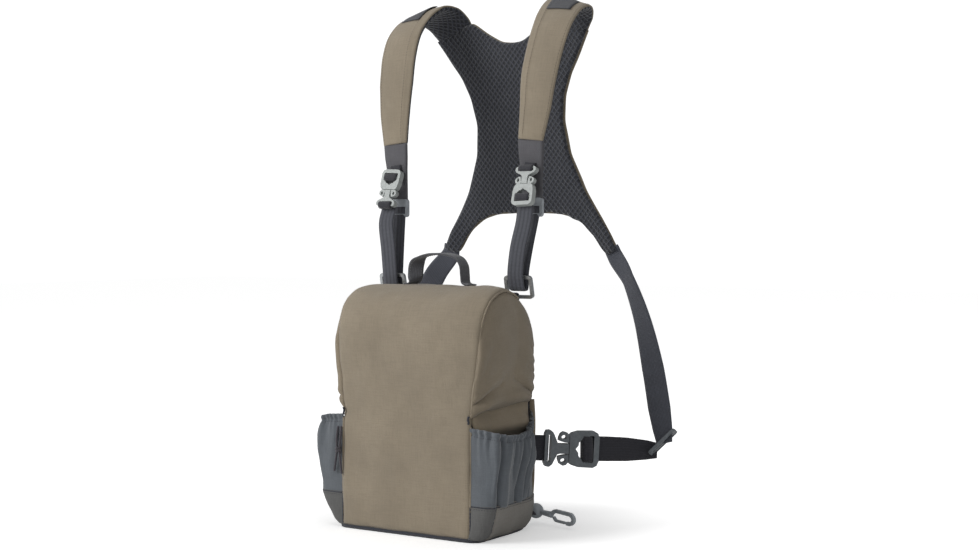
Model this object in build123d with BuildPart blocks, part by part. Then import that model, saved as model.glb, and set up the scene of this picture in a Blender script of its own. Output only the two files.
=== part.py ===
"""Binocular harness pack: a forward-opening chest pouch with side pockets on a four-point harness.

+Z is up, +Y points from the pouch front to the wearer and +X is the wearer's left.
The origin is the middle of the pouch's base, on the surface the pouch stands on.  Millimetres.
"""
from build123d import *
import os
from math import cos, radians, sin

os.makedirs("parts", exist_ok=True)

# ---- driving dimensions ----
HALF_W = 74.0          # half width of the pouch shell
FRONT_Y = -52.0        # outer face of the front panel
BACK_Y = 52.0          # outer face of the back panel
PANEL_T = 5.0          # padded panel thickness
SIDE_T = 3.2           # side wall thickness
BASE_T = 7.0           # padded base thickness
GAP = 0.3              # gap left at sewn joints between separate pieces
FRONT_TOP = 112.3      # height of the lower front panel
LID_BOTTOM = 113.2     # lower edge of the lid
LID_HALF_W = 79.2      # half width of the lid
GUSSET_T = 4.0         # lid side gusset thickness
POCKET_T = 2.2         # pocket fabric thickness
KICK_TOP = 33.0        # top of the reinforced lower pocket
POCKET_TOP = 102.0     # pocket mouth
WEB_T = 1.8            # webbing thickness
LEG_W = 16.0           # shoulder adjuster webbing width
SIDE_WEB_W = 25.0      # side strap webbing width
OUTER_T = 2.6          # strap and yoke outer fabric thickness
MESH_T = 4.4           # strap and yoke spacer mesh thickness
RING_Y = 30.0          # lower bar of the harness ring
RING_Z = 222.0
RING_X = 75.0
RING_W = 31.0
RING_H = 22.0
RING_BAR = 3.0
HANDLE_Y = 4.0
HANDLE_AXIS_Z = 235.6
HANDLE_HALF = 29.0
CORD_D = 2.2           # drawcord diameter

SIDES = (("left", 1), ("right", -1))


def save(builder, name):
    """Label one finished piece and write it as its own STEP file."""
    builder.part.label = name
    export_step(builder.part, f"parts/{name}.step")


def station_plane(points, index, across):
    """Plane square to a path at one of its points, with its X axis along the strap's width."""
    before = Vector(*points[max(index - 1, 0)])
    after = Vector(*points[min(index + 1, len(points) - 1)])
    along = (after - before).normalized()
    width = Vector(*across)
    width = (width - along * width.dot(along)).normalized()
    return Plane(origin=Vector(*points[index]), x_dir=width, z_dir=along)


def strip(points, acrosses, widths, thickness, rise=0.0):
    """Flat strap that follows a path; rise moves it off the path along the strap's normal."""
    with BuildPart() as strap:
        for index, width in enumerate(widths):
            with BuildSketch(station_plane(points, index, acrosses[index])):
                with Locations((0, rise)):
                    Rectangle(width, thickness)
        loft(ruled=True)
    return strap


def sided(points, side):
    """Mirror a list of left-hand points to the wanted side."""
    return [(side * x, y, z) for x, y, z in points]


# ---- base of the pouch ----
BASE_OUTLINE = [(76, -51.5), (85, -46), (80, 26), (76, 48), (72, 51.5)]
base_ring = BASE_OUTLINE + [(-x, y) for x, y in reversed(BASE_OUTLINE)]

with BuildPart() as base_panel:
    with BuildSketch() as base_sketch:
        Polygon(*base_ring, align=None)
        fillet(base_sketch.vertices(), radius=2.5)
    extrude(amount=BASE_T)
save(base_panel, "base_panel")

with BuildPart() as base_binding:
    with BuildSketch(Plane.XY.offset(0.5)) as binding_sketch:
        Polygon(*base_ring, align=None)
        fillet(binding_sketch.vertices(), radius=2.5)
        offset(amount=2.2)
        with BuildSketch(mode=Mode.SUBTRACT) as binding_core:
            Polygon(*base_ring, align=None)
            fillet(binding_core.vertices(), radius=2.5)
            offset(amount=0.15)
    extrude(amount=4.0)
save(base_binding, "base_binding")

# ---- front, side and back walls ----
PANEL_BOTTOM = BASE_T + GAP
with BuildPart() as front_panel:
    with BuildSketch(Plane.XY.offset(PANEL_BOTTOM)) as front_sketch:
        with Locations((0, FRONT_Y + PANEL_T / 2)):
            Rectangle(2 * HALF_W, PANEL_T)
        fillet(front_sketch.vertices().group_by(Axis.Y)[0], radius=2.5)
    extrude(amount=FRONT_TOP - PANEL_BOTTOM)
save(front_panel, "front_panel")

WALL_FRONT = FRONT_Y + PANEL_T + GAP
WALL_BACK = BACK_Y - PANEL_T - GAP
for side_name, side in SIDES:
    with BuildPart() as side_panel:
        with BuildSketch(Plane.YZ.offset(side * HALF_W)):
            Polygon((WALL_FRONT, PANEL_BOTTOM), (WALL_FRONT, FRONT_TOP), (-18, 146),
                    (30, 178), (WALL_BACK, 160), (WALL_BACK, PANEL_BOTTOM), align=None)
        extrude(amount=-side * SIDE_T)
    save(side_panel, f"side_panel_{side_name}")

# The back panel leans forward at its top, towards the rings.
with BuildPart() as back_panel:
    with BuildSketch(Plane.YZ) as back_sketch:
        Polygon((BACK_Y, PANEL_BOTTOM), (BACK_Y, 176), (44, 200), (28, 219),
                (24.3, 216), (39.5, 197), (47, 174), (47, PANEL_BOTTOM), align=None)
    extrude(amount=HALF_W, both=True)
save(back_panel, "back_panel")

BIND_X = HALF_W + 0.2
with BuildPart() as rear_binding:
    for side in (1, -1):
        with BuildSketch(Plane.XY.offset(9)) as strip_sketch:
            with Locations((side * (BIND_X + 1.6), 51.2)):
                RectangleRounded(3.2, 4.4, 1.2)
        extrude(amount=96)
save(rear_binding, "rear_binding")

# ---- side pockets: a stretch upper part over a reinforced lower part ----
POCKET_X = HALF_W + GAP


def pocket_outline(side, x_front, x_rear, inset):
    """Plan of a pocket wall at one height; inset shrinks it to the inner face."""
    points = [(POCKET_X + inset, -50 + inset), (x_front - 9 - 0.4 * inset, -49.5 + inset),
              (x_front - inset, -41 + 0.4 * inset), (x_rear - inset, 26 - 0.4 * inset),
              (79 - 0.6 * inset, 46.5 - inset), (POCKET_X + inset, 47.5 - inset)]
    return [(side * x, y) for x, y in points]


def pocket_solid(side, levels, inset):
    """Ruled loft through the pocket outlines at the given levels."""
    with BuildPart() as solid:
        for height, x_front, x_rear in levels:
            with BuildSketch(Plane.XY.offset(height)):
                Polygon(*pocket_outline(side, x_front, x_rear, inset), align=None)
        loft(ruled=True)
    return solid.part


KICK_LEVELS = [(PANEL_BOTTOM, 86, 80.5), (20, 94, 87), (KICK_TOP, 99, 91)]
KICK_INNER = [(PANEL_BOTTOM + 2.5, 87.5, 81.8), (20, 94, 87), (KICK_TOP + 0.01, 99, 91)]
UPPER_LEVELS = [(KICK_TOP + GAP, 99, 91), (72, 104, 95), (POCKET_TOP, 101, 94)]
UPPER_INNER = [(KICK_TOP + GAP - 0.01, 99, 91), (72, 104, 95), (POCKET_TOP + 0.01, 101, 94)]
for side_name, side in SIDES:
    kick_outer = pocket_solid(side, KICK_LEVELS, 0.0)
    kick_inner = pocket_solid(side, KICK_INNER, POCKET_T)
    with BuildPart() as pocket_kick:
        add(kick_outer)
        add(kick_inner, mode=Mode.SUBTRACT)
    save(pocket_kick, f"pocket_kick_{side_name}")
    upper_outer = pocket_solid(side, UPPER_LEVELS, 0.0)
    upper_inner = pocket_solid(side, UPPER_INNER, POCKET_T)
    with BuildPart() as side_pocket:
        add(upper_outer)
        add(upper_inner, mode=Mode.SUBTRACT)
    save(side_pocket, f"side_pocket_{side_name}")

# ---- drawcord that hangs from the right pocket's front edge ----
CORD_ROUTES = {
    "drawcord_inner": [(-76.6, -51.6, 97), (-76.2, -53.6, 86), (-77.2, -54.2, 74.5),
                       (-75.6, -54.4, 63), (-74.2, -54.0, 52)],
    "drawcord_outer": [(-80.4, -51.6, 97), (-80.9, -53.8, 86.5), (-79.6, -54.2, 75),
                       (-81.4, -54.4, 64), (-83.4, -54.0, 54)],
}
KNOT_CENTRE = (-78.4, -54.2, 75)
for cord_name, route in CORD_ROUTES.items():
    corners = [Vector(*point) for point in route]
    radii = []
    for index in range(1, len(corners) - 1):
        run_in = corners[index] - corners[index - 1]
        run_out = corners[index + 1] - corners[index]
        half_turn = radians(run_in.get_angle(run_out) / 2)
        radii.append(0.45 * min(run_in.length, run_out.length) * cos(half_turn) / sin(half_turn))
    print(cord_name, "radii", [round(radius, 1) for radius in radii])
    with BuildPart() as cord:
        with BuildLine() as cord_line:
            FilletPolyline(*route, radius=radii)
        with BuildSketch(Plane(origin=cord_line.line @ 0, z_dir=cord_line.line % 0)):
            Circle(CORD_D / 2)
        sweep()
    print(cord_name, "length", round(sum(edge.length for edge in cord_line.line.edges()), 1))
    save(cord, cord_name)

with BuildPart() as drawcord_knot:
    with Locations(KNOT_CENTRE):
        Sphere(3.4)
save(drawcord_knot, "drawcord_knot")

# ---- lid: front and top panel, two side gussets and the seam piping ----
HINGE_Y = -53.3
HINGE_Z = 112.8
LID_OUTER = [(-52.9, LID_BOTTOM), (-53.3, 150), (-52.8, 185), (-49.6, 204), (-40, 219), (-25, 227.8),
             (-6, 231.4), (19.5, 229.6)]
LID_INNER = [(-47.9, LID_BOTTOM), (-48.3, 150), (-47.8, 183), (-44.8, 200), (-36.5, 213.6), (-23.5, 221.6),
             (-5, 224.8), (19.5, 218)]
with BuildPart() as lid_panel:
    with BuildSketch(Plane.YZ):
        with BuildLine():
            outer = Spline(*LID_OUTER)
            inner = Spline(*LID_INNER)
            Line(outer @ 0, inner @ 0)
            Line(outer @ 1, inner @ 1)
        make_face()
    extrude(amount=LID_HALF_W, both=True)
    fillet(lid_panel.faces().filter_by(Axis.X).edges().filter_by(GeomType.BSPLINE)
           .group_by(Axis.Z)[-1], radius=3.0)
save(lid_panel, "lid_panel")

# The gussets stay inside the arc that the lid's rear edge sweeps past the rings.
GUSSET_REAR = [(19.5, 217), (31, 208), (43.5, 192), (49, 172), (50.5, 150), (50.5, 119.5)]
for side_name, side in SIDES:
    with BuildPart() as lid_gusset:
        with BuildSketch(Plane.YZ.offset(side * (LID_HALF_W - 0.4))):
            with BuildLine():
                edge = Spline(*[(y + 0.3, z - 0.3) for y, z in LID_INNER])
                Polyline(edge @ 1, *GUSSET_REAR[1:], (-30, LID_BOTTOM + 1.5), edge @ 0)
            make_face()
        extrude(amount=-side * (GUSSET_T - 0.4))
    save(lid_gusset, f"lid_gusset_{side_name}")

PIPING = [(-53.4, LID_BOTTOM + 1), (-54.2, 196), (-42, 220), (-20, 230.5), (17.5, 230.8)]
with BuildPart() as lid_piping:
    for side in (1, -1):
        x_pipe = side * (LID_HALF_W + 0.6)
        with BuildLine() as pipe_line:
            FilletPolyline(*[(x_pipe, y - 0.4, z - 1.2) for y, z in PIPING], radius=[14, 14, 14])
        with BuildSketch(Plane(origin=pipe_line.line @ 0, z_dir=pipe_line.line % 0)):
            Circle(0.9)
        sweep()
save(lid_piping, "lid_piping")

# ---- carry handle: sewn feet on the lid and the webbing arch ----
FOOT_L = 12.0
with BuildPart() as handle_feet:
    for side in (1, -1):
        with BuildSketch(Plane.XY.offset(HANDLE_AXIS_Z - 3.6)):
            with Locations((side * (HANDLE_HALF + FOOT_L / 2 - 3), HANDLE_Y)):
                Rectangle(FOOT_L, 14.5)
        extrude(amount=1.6)
save(handle_feet, "handle_feet")

ARCH = [(-29, 10), (-27.5, 17), (-21, 23), (-10, 25.5), (0, 26), (10, 25.5), (21, 23), (27.5, 17), (29, 10)]
arch_points = [(x, HANDLE_Y, HANDLE_AXIS_Z + rise) for x, rise in ARCH]
handle = strip(arch_points, [(0, 1, 0)] * len(ARCH), [14.5] * len(ARCH), 2.0)
save(handle, "handle")

# ---- harness rings and the tabs that hold them at the pouch's top rear corners ----
RING_LEAN = (-4.0, 19.0)      # from the lower bar to the upper bar, in Y and Z
ring_up = Vector(0, *RING_LEAN).normalized()
ring_normal = Vector(1, 0, 0).cross(ring_up)
with BuildPart() as ring_tabs:
    for side in (1, -1):
        with BuildSketch(Plane.YZ.offset(side * RING_X)):
            with Locations((RING_Y, RING_Z)):
                Circle(4.0)
            Polygon((33.6, 219), (29.2, 219), (44.8, 200.5), (46.8, 202), align=None)
            with Locations((RING_Y, RING_Z)):
                Circle(2.4, mode=Mode.SUBTRACT)
        extrude(amount=9, both=True)
save(ring_tabs, "ring_tabs")

with BuildPart() as rings:
    for side in (1, -1):
        ring_centre = Vector(side * RING_X, RING_Y, RING_Z) + ring_up * (RING_H - RING_BAR) / 2
        with BuildSketch(Plane(origin=ring_centre, x_dir=(1, 0, 0), z_dir=ring_normal)):
            RectangleRounded(RING_W, RING_H, 3.5)
            RectangleRounded(RING_W - 2 * RING_BAR, RING_H - 2 * RING_BAR, 1.5, mode=Mode.SUBTRACT)
        extrude(amount=RING_BAR / 2, both=True)
save(rings, "rings")

# ---- shoulder adjuster webbing: down from the buckle, through the ring, up to the strap loop ----
FRONT_LEG = [(81.1, 30.4, 312), (81.4, 28.8, 306), (82.0, 24.6, 293), (77.5, 22.2, 268), (75, 22.3, 243)]
REAR_LEG = [(75, 31.6, 243), (77, 36, 270), (80, 42.2, 300)]
LEG_FOLD = [(22.3, 244), (22.6, 239.6), (26.2, 236.6), (30.9, 239.6), (31.6, 244)]
for side_name, side in SIDES:
    front_leg = strip(sided(FRONT_LEG, side), [(1, 0, 0)] * len(FRONT_LEG), [LEG_W] * len(FRONT_LEG), WEB_T)
    rear_leg = strip(sided(REAR_LEG, side), [(1, 0, 0)] * len(REAR_LEG), [LEG_W] * len(REAR_LEG), WEB_T)
    with BuildPart() as shoulder_web:
        with BuildSketch(Plane.YZ.offset(side * RING_X)):
            with BuildLine():
                Polyline(*LEG_FOLD)
            trace(line_width=WEB_T)
        extrude(amount=LEG_W / 2, both=True)
        add(front_leg.part)
        add(rear_leg.part)
    save(shoulder_web, f"shoulder_web_{side_name}")

# ---- strap-end tabs and the rectangular loops on them ----
TAB_PATH = [(81, 39.4, 369), (80.6, 41, 345), (80.2, 43, 316)]
with BuildPart() as strap_tabs:
    for side in (1, -1):
        for index, width in enumerate([28, 25, 22]):
            with BuildSketch(station_plane(sided(TAB_PATH, side), index, (1, 0, 0))):
                Rectangle(width, 3.4)
        loft(ruled=True)
save(strap_tabs, "strap_tabs")

with BuildPart() as strap_loops:
    for side in (1, -1):
        loop_plane = Plane(origin=(side * 80, 43, 306.5), x_dir=(1, 0, 0), z_dir=(0, -1, 0))
        with BuildSketch(loop_plane):
            RectangleRounded(24, 18, 3)
            with Locations((0, -2.2)):
                Rectangle(18, 7.0, mode=Mode.SUBTRACT)
        extrude(amount=1.7, both=True)
save(strap_loops, "strap_loops")

# ---- padded shoulder straps ----
STRAP_PATH = [(81, 39, 370), (84, 42, 400), (85.5, 46, 430), (88, 54, 460), (89, 65, 482),
              (88, 82, 498), (85.5, 101, 505), (78.5, 117, 501), (70.2, 125.6, 489.2)]
STRAP_WIDTH = [28, 35, 40, 41.5, 42.5, 43.5, 44.5, 45.5, 46]
STRAP_TILT = [0, 0, 0.02, 0.06, 0.12, 0.18, 0.25, 0.32, 0.42]
for side_name, side in SIDES:
    path = sided(STRAP_PATH, side)
    across = [(1, 0, -side * tilt) for tilt in STRAP_TILT]
    outer_strap = strip(path, across, STRAP_WIDTH, OUTER_T, -OUTER_T / 2 - 0.1)
    save(outer_strap, f"shoulder_outer_{side_name}")
    mesh_width = [width - 3 for width in STRAP_WIDTH]
    mesh_strap = strip(path, across, mesh_width, MESH_T, MESH_T / 2 + 0.1)
    save(mesh_strap, f"shoulder_mesh_{side_name}")

PATCH_FIRST = 5
PATCH_LAST = 7
with BuildPart() as shoulder_patches:
    for side in (1, -1):
        path = sided(STRAP_PATH, side)
        for index in range(PATCH_FIRST, PATCH_LAST):
            patch_across = (1, 0, -side * STRAP_TILT[index])
            with BuildSketch(station_plane(path, index, patch_across)):
                with Locations((0, -OUTER_T - 0.1 - 0.7)):
                    Rectangle(29, 0.8)
        loft(ruled=True)
save(shoulder_patches, "shoulder_patches")

# ---- yoke: the padded back piece, mesh towards the wearer ----
YOKE_LEAN = 0.17
yoke_up = Vector(0, -YOKE_LEAN, 1).normalized()
yoke_plane = Plane(origin=(0, 143, 385), x_dir=(1, 0, 0), z_dir=Vector(1, 0, 0).cross(yoke_up))
YOKE_HALF = [(0, 474), (14, 475.5), (30, 484.5), (48, 497), (91, 479), (79, 460), (66, 439), (57, 418),
             (53, 392), (56, 360), (71, 323), (84, 302), (100, 279), (110, 264), (105, 259), (91, 260.5),
             (86, 270), (75, 284), (57, 296), (38, 301), (0, 302.5)]
yoke_right = [(x, (z - 385) / yoke_up.Z) for x, z in YOKE_HALF]
yoke_outline = yoke_right + [(-x, v) for x, v in reversed(yoke_right[1:-1])]
with BuildPart() as yoke_shell:
    with BuildSketch(yoke_plane):
        Polygon(*yoke_outline, align=None)
    extrude(amount=-OUTER_T)
save(yoke_shell, "yoke_shell")
with BuildPart() as yoke_mesh:
    with BuildSketch(yoke_plane.offset(0.2)):
        Polygon(*yoke_outline, align=None)
        offset(amount=-1.5)
    extrude(amount=MESH_T)
save(yoke_mesh, "yoke_mesh")

# ---- side-release buckles ----
SIDE_START = (79.0, 52.5, 77.0)
side_axis = Vector(0.668, 0.742, -0.055).normalized()
side_normal = Vector(side_axis.Y, -side_axis.X, 0).normalized()
SIDE_CENTRE = 34.0            # buckle centre along the side strap
SIDE_TRAVEL = 16.0            # way out of the socket for the 25 mm buckle
SHOULDER_TRAVEL = 11.5        # and for the 15 mm buckle
SIDE_SIZE = (1.0, 1.0, 9.0)   # length factor, width factor, thickness
SHOULDER_SIZE = (0.70, 0.645, 7.0)


def mirrored(vector, side):
    """Mirror a left-hand vector to the wanted side."""
    return Vector(side * vector.X, vector.Y, vector.Z)


def scaled(points, size):
    """Scale drawing points by a buckle size's length and width factors."""
    return [(u * size[0], v * size[1]) for u, v in points]


def buckle_socket(plane, size):
    """Receiving half: webbing end, waist and the centre tongue that the two arms close round."""
    half = [(-27, 0), (-27, -14), (-25.5, -17.2), (-22, -17.7), (-19, -15.2), (-17, -11), (-15.6, -8),
            (-14.5, -5.6), (-12, -4.8), (-3.2, -4.8), (-3.2, 0)]
    outline = half + [(u, -v) for u, v in reversed(half[1:-1])]
    with BuildPart() as socket:
        with BuildSketch(plane):
            Polygon(*scaled(outline, size), align=None)
            with Locations((-22.6 * size[0], 0)):
                RectangleRounded(3.6 * size[0], 26 * size[1], 1.2 * size[0], mode=Mode.SUBTRACT)
        extrude(amount=size[2] / 2 - 0.6, both=True)
    return socket


def buckle_frame(plane, size):
    """Entering half without its arms: webbing frame with an arrow-shaped window."""
    half = [(-2.5, 0), (-2.5, -12.8), (0, -15.4), (6.3, -17.3), (21.5, -17.7), (25.3, -15.6), (27, -11.5),
            (27, 0)]
    outline = half + [(u, -v) for u, v in reversed(half[1:-1])]
    half_window = [(3.6, 0), (6.3, -3.4), (6.6, -6.4), (9.4, -9.2), (11.2, -12.6), (12.6, -12.6), (12.6, 0)]
    window = half_window + [(u, -v) for u, v in reversed(half_window[1:-1])]
    with BuildPart() as frame:
        with BuildSketch(plane):
            Polygon(*scaled(outline, size), align=None)
            Polygon(*scaled(window, size), align=None, mode=Mode.SUBTRACT)
            with Locations((19.4 * size[0], 0)):
                RectangleRounded(4.6 * size[0], 26 * size[1], 1.4 * size[0], mode=Mode.SUBTRACT)
        extrude(amount=size[2] / 2 - 0.4, both=True)
    return frame


def buckle_arm(plane, size, hand):
    """One sprung arm of the entering half: a flat loop that bows out beside the tongue."""
    outline = [(-3.2, 5.5), (-2.9, 8), (-2.9, 12.8), (-5.2, 15.6), (-8.4, 16.4), (-11.2, 14.6), (-12.9, 10.6),
               (-13, 7.6), (-12, 7.2), (-7, 6)]
    with BuildPart() as arm:
        with BuildSketch(plane):
            Polygon(*scaled([(u, hand * v) for u, v in outline], size), align=None)
            with Locations((-8.2 * size[0], hand * 11.2 * size[1])):
                Ellipse(2.7 * size[0], 1.9 * size[1], mode=Mode.SUBTRACT)
        extrude(amount=size[2] / 2 - 1.1, both=True)
    return arm


shoulder_axis = Vector(1.5, -11, -36).normalized()
shoulder_normal = Vector(1, 0, 0).cross(shoulder_axis).normalized() * -1
SHOULDER_CENTRE = Vector(80.6, 29.6, 326)
for side_name, side in SIDES:
    side_centre = Vector(*SIDE_START) + side_axis * SIDE_CENTRE
    side_plane = Plane(origin=mirrored(side_centre, side), x_dir=mirrored(side_axis, side),
                       z_dir=mirrored(side_normal, side))
    # The left shoulder buckle has its socket on top, the right one has its plug on top.
    shoulder_plane = Plane(origin=mirrored(SHOULDER_CENTRE, side),
                           x_dir=mirrored(shoulder_axis, side) * side,
                           z_dir=mirrored(shoulder_normal, side))
    for place, plane, size in (("side", side_plane, SIDE_SIZE), ("shoulder", shoulder_plane, SHOULDER_SIZE)):
        save(buckle_socket(plane, size), f"{place}_socket_{side_name}")
        save(buckle_frame(plane, size), f"{place}_plug_{side_name}")
        save(buckle_arm(plane, size, 1), f"{place}_arm_a_{side_name}")
        save(buckle_arm(plane, size, -1), f"{place}_arm_b_{side_name}")
        pivot = plane.origin + plane.x_dir * (-3.2 * size[0])
        for hand in (1, -1):
            hinge = pivot + plane.y_dir * (hand * 8.2 * size[1])
            print(place, side_name, hand, "arm pivot", [round(value, 2) for value in tuple(hinge)])
        print(place, side_name, "axis", [round(value, 5) for value in tuple(plane.x_dir)],
              "normal", [round(value, 5) for value in tuple(plane.z_dir)])

# ---- webbing tabs that join the buckles to the pouch and to the strap ends ----
for side_name, side in SIDES:
    side_path = [Vector(*SIDE_START) + side_axis * distance for distance in (0.0, 8.0, 11.2)]
    tab_points = sided([tuple(point) for point in side_path], side)
    side_tab = strip(tab_points, [(0, 0, 1)] * 3, [24, 24, 24], 2.0)
    save(side_tab, f"side_tab_{side_name}")

KEEPER_PATH = [(80.5, 38.6, 352), (80, 37.2, 346), (79.4, 34.6, 341.5)]
with BuildPart() as buckle_keepers:
    for side in (1, -1):
        for index in range(len(KEEPER_PATH)):
            with BuildSketch(station_plane(sided(KEEPER_PATH, side), index, (1, 0, 0))):
                Rectangle(13, WEB_T)
        loft(ruled=True)
save(buckle_keepers, "buckle_keepers")

# ---- side straps: behind the plug, out to the corner slider and up to the yoke leg ----
STRAP_BACK = -6.0             # webbing lies this far behind the plug's middle plane
run_start = Vector(*SIDE_START) + side_axis * 52 + side_normal * STRAP_BACK
run_end = Vector(*SIDE_START) + side_axis * 118 + side_normal * STRAP_BACK
SIDE_RISE = [(163, 146, 92), (159, 147.5, 112), (151, 149, 150), (138, 151, 196), (119, 155.5, 236),
             (101.5, 161.6, 257)]
RISE_ACROSS = [(1, 0, 0.25), (1, 0, 0.2), (1, -0.05, 0.25), (0.9, -0.35, 0.3), (0.8, -0.5, 0.4), (1, -0.1, 0.6)]
for side_name, side in SIDES:
    low_points = sided([tuple(run_start), tuple(run_end)], side)
    low_run = strip(low_points, [(0, 0, 1)] * 2, [SIDE_WEB_W, 22], WEB_T)
    rise_across = [(side * x, y, z) for x, y, z in RISE_ACROSS]
    rise = strip(sided(SIDE_RISE, side), rise_across, [22, SIDE_WEB_W, SIDE_WEB_W, SIDE_WEB_W, 22, 18], WEB_T)
    with BuildPart() as side_strap:
        add(low_run.part)
        add(rise.part)
    save(side_strap, f"side_strap_{side_name}")

SLIDER_CENTRE = (164.5, 145, 79)
SLIDER_DIR = Vector(0.62, 0.36, 0.70).normalized()
with BuildPart() as tri_glides:
    for side in (1, -1):
        slider_x = mirrored(SLIDER_DIR, side)
        slider_z = Vector(side * 0.745, 0.079, -0.66)
        slider_z = (slider_z - slider_x * slider_z.dot(slider_x)).normalized()
        slider_plane = Plane(origin=(side * SLIDER_CENTRE[0], *SLIDER_CENTRE[1:]), x_dir=slider_x, z_dir=slider_z)
        with BuildSketch(slider_plane):
            RectangleRounded(34, 17, 4)
            with Locations((0, 4.1), (0, -4.1)):
                Rectangle(26, 3.6, mode=Mode.SUBTRACT)
        extrude(amount=1.5, both=True)
save(tri_glides, "tri_glides")

# ---- tether at the rear left of the base: tab, ball and swivel snap hook ----
BALL = (66.0, 71.0, 12.8)
BALL_R = 7.4
with BuildPart() as tether_tab:
    with BuildSketch(Plane.YZ.offset(60)):
        Polygon((BACK_Y + 0.2, 22), (BACK_Y + 0.2, 19.6), (66, 11.6), (66, 14.2), align=None)
    extrude(amount=10)
save(tether_tab, "tether_tab")

with BuildPart() as tether_ball:
    with Locations(BALL):
        Sphere(BALL_R)
save(tether_ball, "tether_ball")

hook_axis = Vector(46, -8, -3.5).normalized()
hook_flat = hook_axis.cross(Vector(0, 0, 1)).normalized()
hook_up = hook_flat.cross(hook_axis).normalized()
hook_plane = Plane(origin=Vector(*BALL) + hook_axis * (BALL_R + 0.4), x_dir=hook_axis, z_dir=hook_flat)
with BuildPart() as snap_hook:
    with BuildSketch(hook_plane):
        with BuildLine():
            spine = FilletPolyline((0, 0), (12, 0), (17, 4.6), (38, 4.6), (43, 0), (38, -4.6), (33, -4.6),
                                   radius=[3, 3, 3.5, 3.5, 2])
        trace(line_width=3.2)
    extrude(amount=1.7, both=True)
    with BuildSketch(Plane(origin=hook_plane.origin + hook_axis * 1.5, z_dir=hook_axis)):
        Circle(2.5)
    with BuildSketch(Plane(origin=hook_plane.origin + hook_axis * 13, z_dir=hook_axis)):
        Circle(3.1)
    loft()
save(snap_hook, "snap_hook")
with BuildPart() as hook_gate:
    with BuildSketch(hook_plane):
        with BuildLine():
            gate_line = Polyline((15.8, -1.6), (19, -4.6), (31, -4.6))
        trace(line_width=2.2)
    extrude(amount=1.4, both=True)
save(hook_gate, "hook_gate")
gate_pivot = hook_plane.origin + hook_plane.x_dir * 16.2 + hook_plane.y_dir * -2.0
print("hook axis", [round(value, 5) for value in tuple(hook_axis)], "start",
      [round(value, 2) for value in tuple(hook_plane.origin)])
print("gate pivot", [round(value, 2) for value in tuple(gate_pivot)], "axis",
      [round(value, 5) for value in tuple(hook_plane.z_dir)])
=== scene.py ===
"""Looks for the binocular harness pack: fabric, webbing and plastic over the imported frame."""
import math

import bpy
import numpy as np
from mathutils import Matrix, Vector, noise


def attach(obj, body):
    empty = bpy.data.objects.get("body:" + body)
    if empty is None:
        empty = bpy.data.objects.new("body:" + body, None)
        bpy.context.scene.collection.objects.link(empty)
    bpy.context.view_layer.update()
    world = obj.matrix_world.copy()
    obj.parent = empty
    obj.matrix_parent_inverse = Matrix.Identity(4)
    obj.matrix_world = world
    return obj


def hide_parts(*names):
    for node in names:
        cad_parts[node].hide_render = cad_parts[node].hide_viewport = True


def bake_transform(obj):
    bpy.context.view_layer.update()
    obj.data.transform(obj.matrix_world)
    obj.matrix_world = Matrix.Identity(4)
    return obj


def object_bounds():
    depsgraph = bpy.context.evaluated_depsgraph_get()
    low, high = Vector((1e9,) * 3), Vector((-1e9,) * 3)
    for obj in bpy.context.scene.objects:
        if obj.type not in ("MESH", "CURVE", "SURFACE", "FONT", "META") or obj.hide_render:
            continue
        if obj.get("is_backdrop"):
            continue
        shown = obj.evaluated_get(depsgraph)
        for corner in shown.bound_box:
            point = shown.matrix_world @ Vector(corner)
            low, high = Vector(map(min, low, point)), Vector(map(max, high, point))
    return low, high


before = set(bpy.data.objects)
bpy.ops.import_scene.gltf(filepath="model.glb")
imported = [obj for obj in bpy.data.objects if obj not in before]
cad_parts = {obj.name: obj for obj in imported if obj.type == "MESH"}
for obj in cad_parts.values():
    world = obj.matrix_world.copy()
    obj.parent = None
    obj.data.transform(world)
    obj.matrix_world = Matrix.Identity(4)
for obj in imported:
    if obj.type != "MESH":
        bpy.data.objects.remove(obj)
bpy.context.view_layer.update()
MM = 0.001
SIDES = (("left", 1), ("right", -1))  # the wearer's left is towards +X


def link(name, data):
    """New object in the scene."""
    obj = bpy.data.objects.new(name, data)
    scene.collection.objects.link(obj)
    return obj


# ---- camera
scene = bpy.context.scene
scene.view_settings.view_transform = "Standard"
AIM = Vector((0.060, 0.0, 0.243))
CAM_AZIMUTH = math.radians(35.0)
CAM_PITCH = math.radians(1.64)
CAM_DISTANCE = 1.636
SENSOR_WIDTH = 36.0
FOCAL_IN_WIDTHS = 1750.0 / 978.0
back = Vector((math.sin(CAM_AZIMUTH) * math.cos(CAM_PITCH),
               -math.cos(CAM_AZIMUTH) * math.cos(CAM_PITCH), math.sin(CAM_PITCH)))
camera_data = bpy.data.cameras.new("camera")
camera_data.sensor_width = SENSOR_WIDTH
camera_data.lens = FOCAL_IN_WIDTHS * SENSOR_WIDTH
camera = link("camera", camera_data)
camera.location = AIM + back * CAM_DISTANCE
camera.rotation_euler = (-back).to_track_quat("-Z", "Y").to_euler()
scene.camera = camera


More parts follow.
